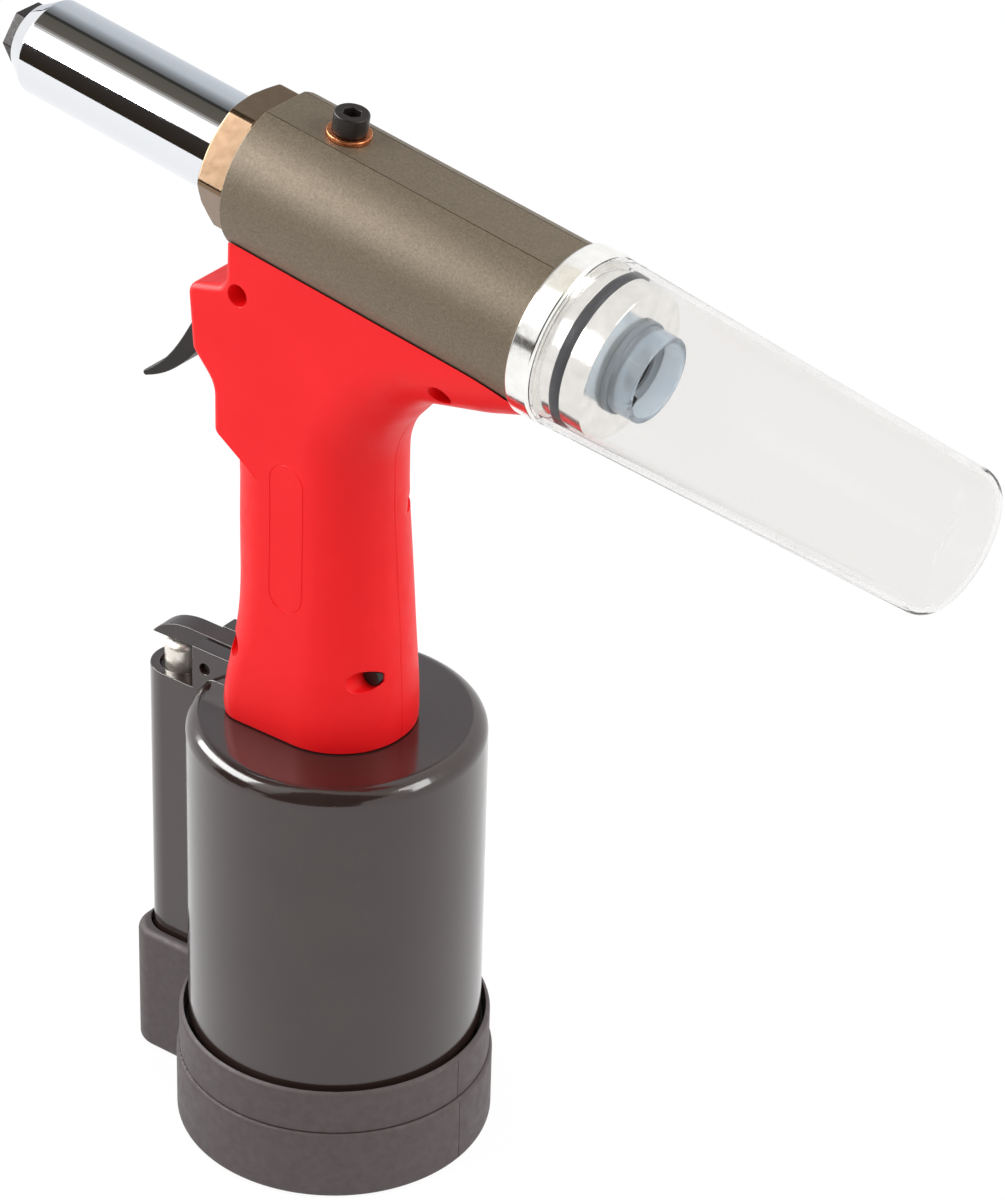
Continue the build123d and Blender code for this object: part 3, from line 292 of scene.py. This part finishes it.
aluminium = finish_of("polished_aluminium", srgb(248, 247, 243), roughness=0.16, metallic=1.0)
mottle(aluminium, 4 * MM, dark=srgb(243, 242, 238), light=srgb(252, 251, 248), detail=5)
wear(aluminium, 0.8 * MM, smooth=0.1, rough=0.2, detail=4)
seal_rubber = finish_of("seal_rubber", srgb(44, 45, 52), roughness=0.45)
mottle(seal_rubber, 2 * MM, dark=srgb(38, 39, 46), light=srgb(52, 53, 60), detail=4)
grain(seal_rubber, 0.3 * MM, depth=0.02 * MM, strength=0.5)
spring_wire = finish_of("spring_wire", srgb(150, 150, 152), roughness=0.32, metallic=1.0)
mottle(spring_wire, 1.5 * MM, dark=srgb(130, 130, 133), light=srgb(165, 165, 167), detail=4)
dress("cylinder_end_cap", "end_cap", aluminium, "cap_aluminium")
dress("end_cap_seal", "end_cap_o_ring", seal_rubber, "seal_rubber")
dress("cap_circlip", "circlip", spring_wire, "spring_steel")
dress("piston_bumper", "bumper_ring", seal_rubber, "seal_rubber", edge=0.5)

# Air piston and ram: a turned aluminium disc with a rubber lip ring, held on the ground steel ram by a nut.
# The ram goes up into the neck of the head and pushes the oil out of it.

ground_steel = finish_of("ground_steel", srgb(212, 211, 208), roughness=0.22, metallic=1.0)
mottle(ground_steel, 3 * MM, dark=srgb(200, 199, 196), light=srgb(222, 221, 218), detail=5)
wear(ground_steel, 0.6 * MM, smooth=0.14, rough=0.3)
dress("air_piston_disc", "air_piston", aluminium, "cap_aluminium", "ram", edge=0.4)
dress("air_piston_lip", "air_piston_seal", seal_rubber, "seal_rubber", "ram", edge=0.3)
dress("ram_clamp_nut", "piston_nut", ground_steel, "bright_steel", "ram", edge=0.3)
dress("hydraulic_ram", "ram_rod", ground_steel, "bright_steel", "ram")

# Air valve in the boss: a blackened guide bush, a domed steel stem with a rubber faced poppet, the spring
# under it and the screwed brass plug that closes the bore.

black_oxide = finish_of("black_oxide", srgb(34, 28, 25), roughness=0.36, more={"Specular IOR Level": 0.35})
mottle(black_oxide, 5 * MM, dark=srgb(30, 24, 22), light=srgb(38, 32, 29), detail=5)
wear(black_oxide, 1.2 * MM, smooth=0.32, rough=0.5, detail=4)
grain(black_oxide, 0.3 * MM, depth=0.02 * MM, strength=0.5)
worn_steel = finish_of("worn_steel", srgb(246, 240, 230), roughness=0.34, metallic=0.8)
mottle(worn_steel, 1.5 * MM, dark=srgb(236, 229, 217), light=srgb(252, 247, 239), detail=5)
wear(worn_steel, 0.8 * MM, smooth=0.26, rough=0.42, detail=4)
dress("stem_guide", "valve_guide", black_oxide, "black_steel")
dress("valve_stem_rod", "valve_stem", worn_steel, "bright_steel", "valve")
dress("poppet_face", "valve_seal", seal_rubber, "seal_rubber", "valve")
dress("valve_bore_plug", "valve_plug", turned_brass, "bearing_brass")
dress("bore_plug_seal", "valve_plug_o_ring", seal_rubber, "seal_rubber")

SPRING_SIDES = 12
SPRING_STEPS = 40


def coil_tree():
    """Geometry nodes that wind a wire into a spring along Z."""
    tree = bpy.data.node_groups.new("coil_spring", "GeometryNodeTree")
    for name in ("Turns", "Coil Radius", "Wire Radius", "Length"):
        tree.interface.new_socket(name, in_out="INPUT", socket_type="NodeSocketFloat")
    tree.interface.new_socket("Finish", in_out="INPUT", socket_type="NodeSocketMaterial")
    tree.interface.new_socket("Spring", in_out="OUTPUT", socket_type="NodeSocketGeometry")
    given = tree.nodes.new("NodeGroupInput")
    made = tree.nodes.new("NodeGroupOutput")
    spiral = tree.nodes.new("GeometryNodeCurveSpiral")
    spiral.inputs["Resolution"].default_value = SPRING_STEPS
    wire = tree.nodes.new("GeometryNodeCurvePrimitiveCircle")
    wire.inputs["Resolution"].default_value = SPRING_SIDES
    sweep = tree.nodes.new("GeometryNodeCurveToMesh")
    sweep.inputs["Fill Caps"].default_value = True
    whole = tree.nodes.new("GeometryNodeRealizeInstances")
    coat = tree.nodes.new("GeometryNodeSetMaterial")
    tree.links.new(given.outputs["Turns"], spiral.inputs["Rotations"])
    tree.links.new(given.outputs["Coil Radius"], spiral.inputs["Start Radius"])
    tree.links.new(given.outputs["Coil Radius"], spiral.inputs["End Radius"])
    tree.links.new(given.outputs["Length"], spiral.inputs["Height"])
    tree.links.new(given.outputs["Wire Radius"], wire.inputs["Radius"])
    tree.links.new(spiral.outputs["Curve"], sweep.inputs["Curve"])
    tree.links.new(wire.outputs["Curve"], sweep.inputs["Profile Curve"])
    tree.links.new(sweep.outputs["Mesh"], whole.inputs["Geometry"])
    tree.links.new(whole.outputs["Geometry"], coat.inputs["Geometry"])
    tree.links.new(given.outputs["Finish"], coat.inputs["Material"])
    tree.links.new(coat.outputs["Geometry"], made.inputs["Spring"])
    return tree


def grown(tree, sizes):
    """The plain mesh that a node tree makes with these sizes, given by the names of its inputs."""
    seed = as_object("seed", bpy.data.meshes.new("seed"))
    growth = seed.modifiers.new("growth", "NODES")
    growth.node_group = tree
    for socket in tree.interface.items_tree:
        if socket.in_out == "INPUT":
            growth[socket.identifier] = sizes[socket.name]
    bpy.context.view_layer.update()
    mesh = bpy.data.meshes.new_from_object(seed.evaluated_get(bpy.context.evaluated_depsgraph_get()))
    bpy.data.objects.remove(seed)
    mesh.shade_smooth()
    mesh.set_sharp_from_angle(angle=CUT_EDGE)
    return mesh


SPRING_TREE = coil_tree()


def coil(turns, coil_radius, wire_radius, length):
    """A spring that stands on the origin and fills the given length along Z with its wire."""
    sizes = {"Turns": turns, "Coil Radius": coil_radius, "Wire Radius": wire_radius}
    spring = grown(SPRING_TREE, {**sizes, "Length": length - 2 * wire_radius, "Finish": spring_wire})
    spring.transform(Matrix.Translation((0, 0, wire_radius)))
    return spring


VALVE_X = -49.6 * MM
VALVE_SPRING_FOOT_Z = 11.2 * MM
VALVE_SPRING_LENGTH = 13.6 * MM
VALVE_SPRING_COIL_R = 3.4 * MM
VALVE_SPRING_WIRE_R = 0.5 * MM
VALVE_SPRING_TURNS = 6.0
wound = coil(VALVE_SPRING_TURNS, VALVE_SPRING_COIL_R, VALVE_SPRING_WIRE_R, VALVE_SPRING_LENGTH)
wound.transform(Matrix.Translation((VALVE_X, 0, VALVE_SPRING_FOOT_Z)))
valve_spring = put("valve_return_coil", wound, spring_wire, "casing", "spring_steel", "valve_spring")
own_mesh(valve_spring)

# Valve lever: a small black steel rocker on a pin between the ears. Its nose bears on the valve stem and its
# tail reaches under the grip to the trigger's rod.

lever_black = finish_of("lever_black", srgb(62, 54, 54), roughness=0.42)
mottle(lever_black, 6 * MM, dark=srgb(57, 49, 49), light=srgb(67, 59, 59), detail=5)
wear(lever_black, 1.5 * MM, smooth=0.3, rough=0.44, detail=4)
grain(lever_black, 0.4 * MM, depth=0.015 * MM, strength=0.4)
dress("valve_lever", "lever", lever_black, "black_steel", "lever", edge=0.4, segments=3)
dress("lever_hinge_pin", "lever_pin", black_oxide, "black_steel")

# Head frame: the pulling head's aluminium barrel and neck, blasted and hard anodised to a grainy grey-brown.
# The neck goes down through the grip to the cylinder's roof, where a big nut clamps it. Two fine lines run
# along the flat on top of the barrel.

LOW_EDGE = math.radians(16)
BARREL_Z = 258.93 * MM
BARREL_TILT = math.radians(9.165)
ON_BARREL = Matrix.Translation((0, 0, BARREL_Z)) @ Matrix.Rotation(BARREL_TILT, 4, "Y")
CREASE_S = (-21.0, 65.0)
CREASE_Y = 7.0
CREASE_Z = 18.84
CREASE_HALF = 0.14
CREASE_DEPTH = 0.28

blasted_alloy = finish_of("blasted_alloy", srgb(118, 106, 89), roughness=0.45, metallic=0.35)
mottle(blasted_alloy, 0.5 * MM, dark=srgb(106, 94, 78), light=srgb(130, 117, 98),
       low=0.3, high=0.7, detail=5)
wear(blasted_alloy, 1.5 * MM, smooth=0.42, rough=0.58, detail=4)
grain(blasted_alloy, 0.45 * MM, depth=0.04 * MM, strength=0.6)
creases = []
for side_y in (-CREASE_Y, CREASE_Y):
    low = (CREASE_S[0], side_y - CREASE_HALF, CREASE_Z - CREASE_DEPTH)
    crease = boxed(low, (CREASE_S[1], side_y + CREASE_HALF, CREASE_Z + PROUD))
    crease.transform(ON_BARREL)
    creases.append(crease)
dress("head_barrel", "head_frame", blasted_alloy, "head_casting", edge=0.3, cutters=creases, hard=LOW_EDGE)
dress("neck_clamp_nut", "cylinder_nut", ground_steel, "bright_steel", edge=0.4)
dress("ram_bush", "ram_gland", turned_brass, "bearing_brass")
dress("ram_lip_seal", "ram_seal", seal_rubber, "seal_rubber")
dress("rod_bush", "rod_gland", turned_brass, "bearing_brass")
dress("rod_lip_seal", "rod_seal", seal_rubber, "seal_rubber")

# Oil plug: a blackened steel screw with a socket head, screwed into the flat along the top of the barrel. A
# soft copper washer under its head keeps the oil in.

soft_copper = finish_of("soft_copper", srgb(222, 138, 92), roughness=0.28, metallic=1.0)
mottle(soft_copper, 1.5 * MM, dark=srgb(208, 122, 78), light=srgb(232, 156, 110), detail=4)
wear(soft_copper, 0.5 * MM, smooth=0.2, rough=0.36)
dress("oil_washer", "oil_plug_washer", soft_copper, "copper")
dress("oil_screw", "oil_plug_screw", black_oxide, "black_steel", edge=0.3, segments=3)

# Nose: a chromed steel sleeve screwed into the head, locked by a satin bronze nut, with a black hexagon
# nosepiece in its end.

ALONG_BARREL = (0, BARREL_TILT, 0)

chrome = finish_of("chrome_plate", srgb(232, 234, 238), roughness=0.05, metallic=1.0)
wear(chrome, 1.2 * MM, smooth=0.03, rough=0.07, stretch=(0.05, 1, 1), turn=ALONG_BARREL)
dress("chrome_sleeve", "front_sleeve", chrome, "chrome", edge=0.25)

satin_bronze = finish_of("satin_bronze", srgb(133, 110, 88), roughness=0.22, metallic=1.0)
mottle(satin_bronze, 3 * MM, dark=srgb(129, 106, 84), light=srgb(137, 114, 92), detail=4)
wear(satin_bronze, 1.5 * MM, smooth=0.18, rough=0.26)
dress("sleeve_lock_nut", "lock_nut", satin_bronze, "nut_bronze", edge=0.3, segments=3, hard=LOW_EDGE)
dress("nose_hexagon", "nosepiece", black_oxide, "black_steel", edge=0.3)

# Pulling train inside the head: the hydraulic piston with its rod and mandrel tube, the jaw case screwed to
# its front, three hardened jaws with their pusher, and the two springs.

RETURN_SPRING_FRONT_S = 16.2 * MM
RETURN_SPRING_LENGTH = 39.6 * MM
RETURN_SPRING_COIL_R = 9.5 * MM
RETURN_SPRING_WIRE_R = 1.3 * MM
RETURN_SPRING_TURNS = 7.0
JAW_SPRING_FRONT_S = -59.8 * MM
JAW_SPRING_LENGTH = 21.6 * MM
JAW_SPRING_COIL_R = 5.2 * MM
JAW_SPRING_WIRE_R = 0.6 * MM
JAW_SPRING_TURNS = 9.0
LIE_DOWN = Matrix.Rotation(math.radians(90), 4, "Y")

dress("pull_piston", "hydraulic_piston", ground_steel, "bright_steel", "pull", edge=0.3)
dress("pull_piston_lip", "hydraulic_piston_seal", seal_rubber, "seal_rubber", "pull")
dress("jaw_housing", "jaw_case", ground_steel, "bright_steel", "pull", edge=0.3)
dress("gripping_jaws", "jaws", black_oxide, "black_steel", "jaw_set")
dress("jaw_push_ring", "jaw_pusher", ground_steel, "bright_steel", "jaw_set")
wound = coil(RETURN_SPRING_TURNS, RETURN_SPRING_COIL_R, RETURN_SPRING_WIRE_R, RETURN_SPRING_LENGTH)
wound.transform(ON_BARREL @ Matrix.Translation((RETURN_SPRING_FRONT_S, 0, 0)) @ LIE_DOWN)
return_spring = put("piston_return_coil", wound, spring_wire, "pull", "spring_steel", "return_spring")
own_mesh(return_spring)
wound = coil(JAW_SPRING_TURNS, JAW_SPRING_COIL_R, JAW_SPRING_WIRE_R, JAW_SPRING_LENGTH)
wound.transform(ON_BARREL @ Matrix.Translation((JAW_SPRING_FRONT_S, 0, 0)) @ LIE_DOWN)
put("jaw_coil", wound, spring_wire, "pull", "spring_steel", "jaw_spring")

# Rear cap: a turned and polished aluminium ring that closes the head, with a plug behind it that carries the
# collector on an O-ring, and a blue-grey plastic guide for the spent mandrels.

dress("rear_cap_ring", "rear_cap", aluminium, "cap_aluminium")
dress("collector_seal", "collector_o_ring", seal_rubber, "seal_rubber")
guide_plastic = finish_of("guide_plastic", srgb(222, 234, 244), roughness=0.24,
                          more={"Transmission Weight": 0.7, "IOR": 1.25})
mottle(guide_plastic, 5 * MM, dark=srgb(217, 230, 241), light=srgb(227, 238, 247))
wear(guide_plastic, 2 * MM, smooth=0.14, rough=0.26)
dress("mandrel_funnel", "mandrel_guide", guide_plastic, "guide_plastic")

# Collector: a thin clear bottle blown from slightly milky plastic. It is pushed over the O-ring, catches the
# spent mandrels and pulls off to be emptied.

clear_plastic = finish_of("milky_plastic", srgb(245, 244, 243), roughness=0.02,
                          more={"Transmission Weight": 0.985, "IOR": 1.1})
wear(clear_plastic, 14 * MM, smooth=0.0, rough=0.03)
dress("mandrel_bottle", "collector_bottle", clear_plastic, "clear_plastic", "collector", edge=0.15)

# Trigger: a dark hooked lever on a steel pin through the grip. Its arm lifts a thin steel rod with a ball at
# each end, which tips the valve lever at the foot of the grip.

trigger_dark = finish_of("trigger_dark", srgb(30, 26, 22), roughness=0.42,
                         more={"Specular IOR Level": 0.35})
mottle(trigger_dark, 5 * MM, dark=srgb(26, 22, 19), light=srgb(35, 30, 26), detail=5)
wear(trigger_dark, 1.5 * MM, smooth=0.36, rough=0.5, detail=4)
grain(trigger_dark, 0.3 * MM, depth=0.02 * MM, strength=0.5)
dress("trigger_hook", "trigger", trigger_dark, "trigger_metal", "trigger", edge=0.5, segments=3)
dress("trigger_hinge_pin", "trigger_pin", ground_steel, "bright_steel")
dress("trigger_push_rod", "trigger_rod", ground_steel, "bright_steel", "trigger_rod", edge=0.1)

# Handle shells: two halves moulded in red plastic, screwed together from the left round the neck of the
# head. They meet in a fine line round the grip. A bare panel is outlined in the left side, and the right
# half has a nick in its back.

PANEL_X = -2.9
PANEL_HALF = 5.0
PANEL_Z = (160.9, 191.1)
PANEL_CAP_STEPS = 16
PANEL_SIDE_STEPS = 8
PANEL_OUTSIDE_Y = -25.0
GROOVE_R = 0.2
GROOVE_SIDES = 8

red_plastic = finish_of("red_plastic", srgb(253, 22, 28), roughness=0.45, more={"Specular IOR Level": 0.25})
mottle(red_plastic, 18 * MM, dark=srgb(251, 20, 26), light=srgb(255, 25, 31), detail=4)
wear(red_plastic, 4 * MM, smooth=0.4, rough=0.5, detail=4)
grain(red_plastic, 0.5 * MM, depth=0.015 * MM, strength=0.3)


def panel_cutter(surface):
    """A thin closed rod that lies on the left side of the grip along the outline of the panel."""
    low, high = PANEL_Z
    stops = []
    for turn, start, end in ((0, low, high), (math.pi, high, low)):
        for step in range(PANEL_SIDE_STEPS):
            stops.append((turn, start + (end - start) * step / PANEL_SIDE_STEPS))
        for step in range(PANEL_CAP_STEPS):
            stops.append((turn + math.pi * step / PANEL_CAP_STEPS, end))
    points = []
    for angle, centre in stops:
        away = Vector((math.cos(angle), 0, math.sin(angle)))
        place = (Vector((PANEL_X, PANEL_OUTSIDE_Y, centre)) + away * PANEL_HALF) * MM
        hit = surface.ray_cast(place, Vector((0, 1, 0)))[0]
        for side in range(GROOVE_SIDES):
            turn = 2 * math.pi * side / GROOVE_SIDES
            points.append(hit + (away * math.cos(turn) + Vector((0, math.sin(turn), 0))) * GROOVE_R * MM)
    faces = []
    for row in range(len(stops)):
        here, there = row * GROOVE_SIDES, (row + 1) % len(stops) * GROOVE_SIDES
        for side in range(GROOVE_SIDES):
            after = (side + 1) % GROOVE_SIDES
            faces.append((here + side, here + after, there + after, there + side))
    rod = bpy.data.meshes.new("panel")
    rod.from_pydata(points, [], faces)
    return rod


left_side = solid_copy("handle_shell_left")
left_points = [vertex.co for vertex in left_side.vertices]
left_surface = BVHTree.FromPolygons(left_points, [face.vertices for face in left_side.polygons])

NICK_TURN = math.radians(35.9)
NICK_LOW = (16.55, -5.2, 180.0)
NICK_HIGH = (20.0, 4.9, 183.5)

nick = boxed(NICK_LOW, NICK_HIGH)
nick.transform(Matrix.Rotation(NICK_TURN, 4, "Z"))
dress("grip_half_left", "handle_shell_left", red_plastic, "red_shell", cutters=[panel_cutter(left_surface)])
dress("grip_half_right", "handle_shell_right", red_plastic, "red_shell", cutters=[nick])
dress("grip_screws", "shell_screws", black_oxide, "black_steel")

# Studio: a plain white floor and sky, soft lamps on the left and right, and light and dark cards round the
# tool that only the shiny surfaces see.

WHITE = (1, 1, 1, 1)
SKY_LIGHT = 0.5
FLOOR_HALF = 6.0
FLOOR_Z = -0.3 * MM
FLOOR_GREY = (0.8, 0.8, 0.8, 1)
FLOOR_GLOW = 0.92
SHADOW_GREY = (0.12, 0.12, 0.12, 1)


def background_share(tree):
    """One for the rays that show the background: to the camera, by mirrors and through clear plastic."""
    rays = tree.nodes.new("ShaderNodeLightPath")
    share = rays.outputs["Is Camera Ray"]
    for name in ("Is Glossy Ray", "Is Transmission Ray"):
        either = tree.nodes.new("ShaderNodeMath")
        either.operation = "MAXIMUM"
        tree.links.new(share, either.inputs[0])
        tree.links.new(rays.outputs[name], either.inputs[1])
        share = either.outputs["Value"]
    return share


sky = bpy.data.worlds.new("studio_white")
bpy.context.scene.world = sky
sky.use_nodes = True
sky_tree = sky.node_tree
sky_tree.nodes["Background"].inputs["Color"].default_value = WHITE
level = sky_tree.nodes.new("ShaderNodeMapRange")
level.inputs["To Min"].default_value = SKY_LIGHT
level.inputs["To Max"].default_value = 1.0
sky_tree.links.new(background_share(sky_tree), level.inputs["Value"])
sky_tree.links.new(level.outputs["Result"], sky_tree.nodes["Background"].inputs["Strength"])

floor_paint = bpy.data.materials.new("floor_white")
floor_paint.use_nodes = True
floor_tree = floor_paint.node_tree
floor_tree.nodes.remove(floor_tree.nodes["Principled BSDF"])
matt = floor_tree.nodes.new("ShaderNodeBsdfDiffuse")
matt.inputs["Color"].default_value = FLOOR_GREY
faint = floor_tree.nodes.new("ShaderNodeBsdfDiffuse")
faint.inputs["Color"].default_value = SHADOW_GREY
glow = floor_tree.nodes.new("ShaderNodeEmission")
glow.inputs["Strength"].default_value = FLOOR_GLOW
shown = floor_tree.nodes.new("ShaderNodeAddShader")
either = floor_tree.nodes.new("ShaderNodeMixShader")
floor_tree.links.new(glow.outputs["Emission"], shown.inputs[0])
floor_tree.links.new(faint.outputs["BSDF"], shown.inputs[1])
floor_tree.links.new(background_share(floor_tree), either.inputs["Fac"])
floor_tree.links.new(matt.outputs["BSDF"], either.inputs[1])
floor_tree.links.new(shown.outputs["Shader"], either.inputs[2])
floor_tree.links.new(either.outputs["Shader"], floor_tree.nodes["Material Output"].inputs["Surface"])


def stage_sheet(name, corners, paint):
    """A sheet of the studio, from rows of four corners that each make one flat piece of it."""
    mesh = bpy.data.meshes.new(name)
    mesh.from_pydata(corners, [], [tuple(range(first, first + 4)) for first in range(0, len(corners), 4)])
    mesh.materials.append(paint)
    sheet = as_object(name, mesh)
    return sheet


FLOOR_CORNERS = ((-1, -1), (1, -1), (1, 1), (-1, 1))
stage_sheet("floor", [(x * FLOOR_HALF, y * FLOOR_HALF, FLOOR_Z) for x, y in FLOOR_CORNERS], floor_paint)

FAR = 0.9
NEAR = 0.2
SLEEVE_REACH = (-1.4, -0.429)
CARD_STEP = 4
# Each card has its name, distance from the barrel, angles round it from the top to the left, reach along it,
# and first and last colour. A glowing one has its strength instead of colours.
CARDS = [
    ("back_wall", FAR, (-125, -45), SLEEVE_REACH, (230, 233, 237), (198, 204, 209)),
    ("back_shade", FAR, (-45, -14), SLEEVE_REACH, (198, 204, 209), (104, 106, 107)),
    ("ceiling_edge", FAR, (-14, -6), SLEEVE_REACH, (52, 52, 50), (60, 58, 54)),
    ("ceiling_front", FAR, (-6, 22), SLEEVE_REACH, (92, 89, 81), (101, 94, 86)),
    ("ceiling_fade", FAR, (22, 32), SLEEVE_REACH, (112, 107, 100), (240, 238, 234)),
    ("front_wall_left", FAR, (71, 114), SLEEVE_REACH, (56, 52, 50), (46, 38, 30)),
    ("nut_flag", NEAR, (-80, 17), (-0.1125, -0.085), (24, 22, 20), (24, 22, 20)),
    ("ceiling_rear", FAR, (-22, 17), (-0.375, 1.2), (240, 235, 223), (240, 235, 223)),
    ("front_roof", FAR, (17, 67), (-0.16, 1.2), (52, 46, 42), (52, 46, 42)),
    ("front_wall_slit", FAR, (84, 97), (-0.4, -0.16), (70, 64, 60), (70, 64, 60)),
    ("front_wall_right", FAR, (67, 114), (-0.16, 1.2), (52, 46, 42), (52, 46, 42)),
]
GLOWS = [
    ("softbox_face", FAR, (32, 71), SLEEVE_REACH, 1.35),
    ("ring_face", FAR, (17, 67), (-0.429, -0.16), 1.35),
]


def card_paint(name, colour=WHITE, strength=1.0):
    """A plain glow for a card of the studio."""
    paint = bpy.data.materials.new(name)
    paint.use_nodes = True
    tree = paint.node_tree
    tree.nodes.remove(tree.nodes["Principled BSDF"])
    light = tree.nodes.new("ShaderNodeEmission")
    light.inputs["Color"].default_value = colour
    light.inputs["Strength"].default_value = strength
    tree.links.new(light.outputs["Emission"], tree.nodes["Material Output"].inputs["Surface"])
    return paint


def mirror_only(sheet):
    """Leaves a card to the shiny surfaces alone."""
    sheet.visible_camera = False
    sheet.visible_diffuse = False
    sheet.visible_transmission = False
    sheet.visible_volume_scatter = False
    sheet.visible_shadow = False


def arc(distance, first, last, near, far):
    """The narrow strips of a card that bends round the barrel between two angles, as rows of corners."""
    count = max(1, round((last - first) / CARD_STEP))
    edges = []
    for step in range(count + 1):
        turn = math.radians(first + (last - first) * step / count)
        across = -distance * math.sin(turn)
        above = distance * math.cos(turn)
        edges.append([ON_BARREL @ Vector((along, across, above)) for along in (near, far)])
    return [[*here, there[1], there[0]] for here, there in zip(edges, edges[1:])]


for name, distance, angles, reach, start, end in CARDS:
    strips = arc(distance, *angles, *reach)
    for index, corners in enumerate(strips):
        share = (index + 0.5) / len(strips)
        shade = srgb(*(a + (b - a) * share for a, b in zip(start, end)))
        mirror_only(stage_sheet(f"{name}_{index}", corners, card_paint(name, shade)))
for name, distance, angles, reach, strength in GLOWS:
    corners = [corner for strip in arc(distance, *angles, *reach) for corner in strip]
    mirror_only(stage_sheet(name, corners, card_paint(name, strength=strength)))

STRIP_CENTRE = Vector((0, 0, 0.12))
STRIP_DISTANCE = 0.72
STRIPS = [  # name, glow, directions of the corners from a point in the cylinder
    ("left_strip", 13.0,
     [(-0.95, -0.10, 0.22), (-0.85, 0.08, 0.52), (-0.34, -0.45, 0.78), (-0.46, -0.71, 0.51)]),
    ("right_strip", 8.5,
     [(0.95, 0.06, 0.25), (0.90, 0.34, 0.40), (0.55, 0.38, 0.80), (0.66, 0.12, 0.75)]),
]
for name, strength, directions in STRIPS:
    corners = [Vector(direction) * STRIP_DISTANCE + STRIP_CENTRE for direction in directions]
    mirror_only(stage_sheet(name, corners, card_paint(name, strength=strength)))

BACK_FLAG = [(-1.6, 0.9, 0.4), (-0.67, 0.9, 0.4), (-0.67, 0.9, 1.5), (-1.6, 0.9, 1.5)]
BACK_FLAG_SHADE = srgb(30, 24, 22)
mirror_only(stage_sheet("back_flag", BACK_FLAG, card_paint("back_flag", BACK_FLAG_SHADE)))

LAMPS = [  # name, place, size, watts
    ("left_softbox", (-0.75, -1.0, 1.05), 0.9, 12.5),
    ("right_softbox", (1.15, 0.35, 1.0), 0.7, 9.5),
]
LAMP_AIM = Vector((0.02, 0, 0.16))
for name, place, size, watts in LAMPS:
    light = bpy.data.lights.new(name, "AREA")
    light.size = size
    light.energy = watts
    lamp = bpy.data.objects.new(name, light)
    lamp.location = place
    lamp.rotation_euler = (LAMP_AIM - Vector(place)).to_track_quat("-Z", "Y").to_euler()
    lamp.visible_glossy = False
    bpy.context.scene.collection.objects.link(lamp)

# Camera: off the tool's left rear corner and above it, with a long lens. It is rolled a little, as the tool
# stands in the photograph.

CAMERA_AZIMUTH = math.radians(35.886)
CAMERA_ELEVATION = math.radians(31.343)
CAMERA_ROLL = math.radians(1.715)
CAMERA_TARGET = Vector((49.325 * MM, 0, 171.415 * MM))
CAMERA_DISTANCE = 1084.09 * MM
CAMERA_LENS = 138.0
CAMERA_SENSOR = 36.0

across = Vector((math.cos(CAMERA_AZIMUTH), math.sin(CAMERA_AZIMUTH), 0))
backward = Vector((
    math.sin(CAMERA_AZIMUTH) * math.cos(CAMERA_ELEVATION),
    -math.cos(CAMERA_AZIMUTH) * math.cos(CAMERA_ELEVATION),
    math.sin(CAMERA_ELEVATION),
))
upward = backward.cross(across)
rolled_across = across * math.cos(CAMERA_ROLL) + upward * math.sin(CAMERA_ROLL)
rolled_upward = upward * math.cos(CAMERA_ROLL) - across * math.sin(CAMERA_ROLL)
camera_data = bpy.data.cameras.new("camera")
camera_data.lens = CAMERA_LENS
camera_data.sensor_width = CAMERA_SENSOR
camera = bpy.data.objects.new("camera", camera_data)
turn = Matrix((rolled_across, rolled_upward, backward)).transposed().to_4x4()
camera.matrix_world = Matrix.Translation(CAMERA_TARGET + backward * CAMERA_DISTANCE) @ turn
bpy.context.scene.collection.objects.link(camera)
bpy.context.scene.camera = camera
bpy.context.scene.view_settings.view_transform = "Standard"
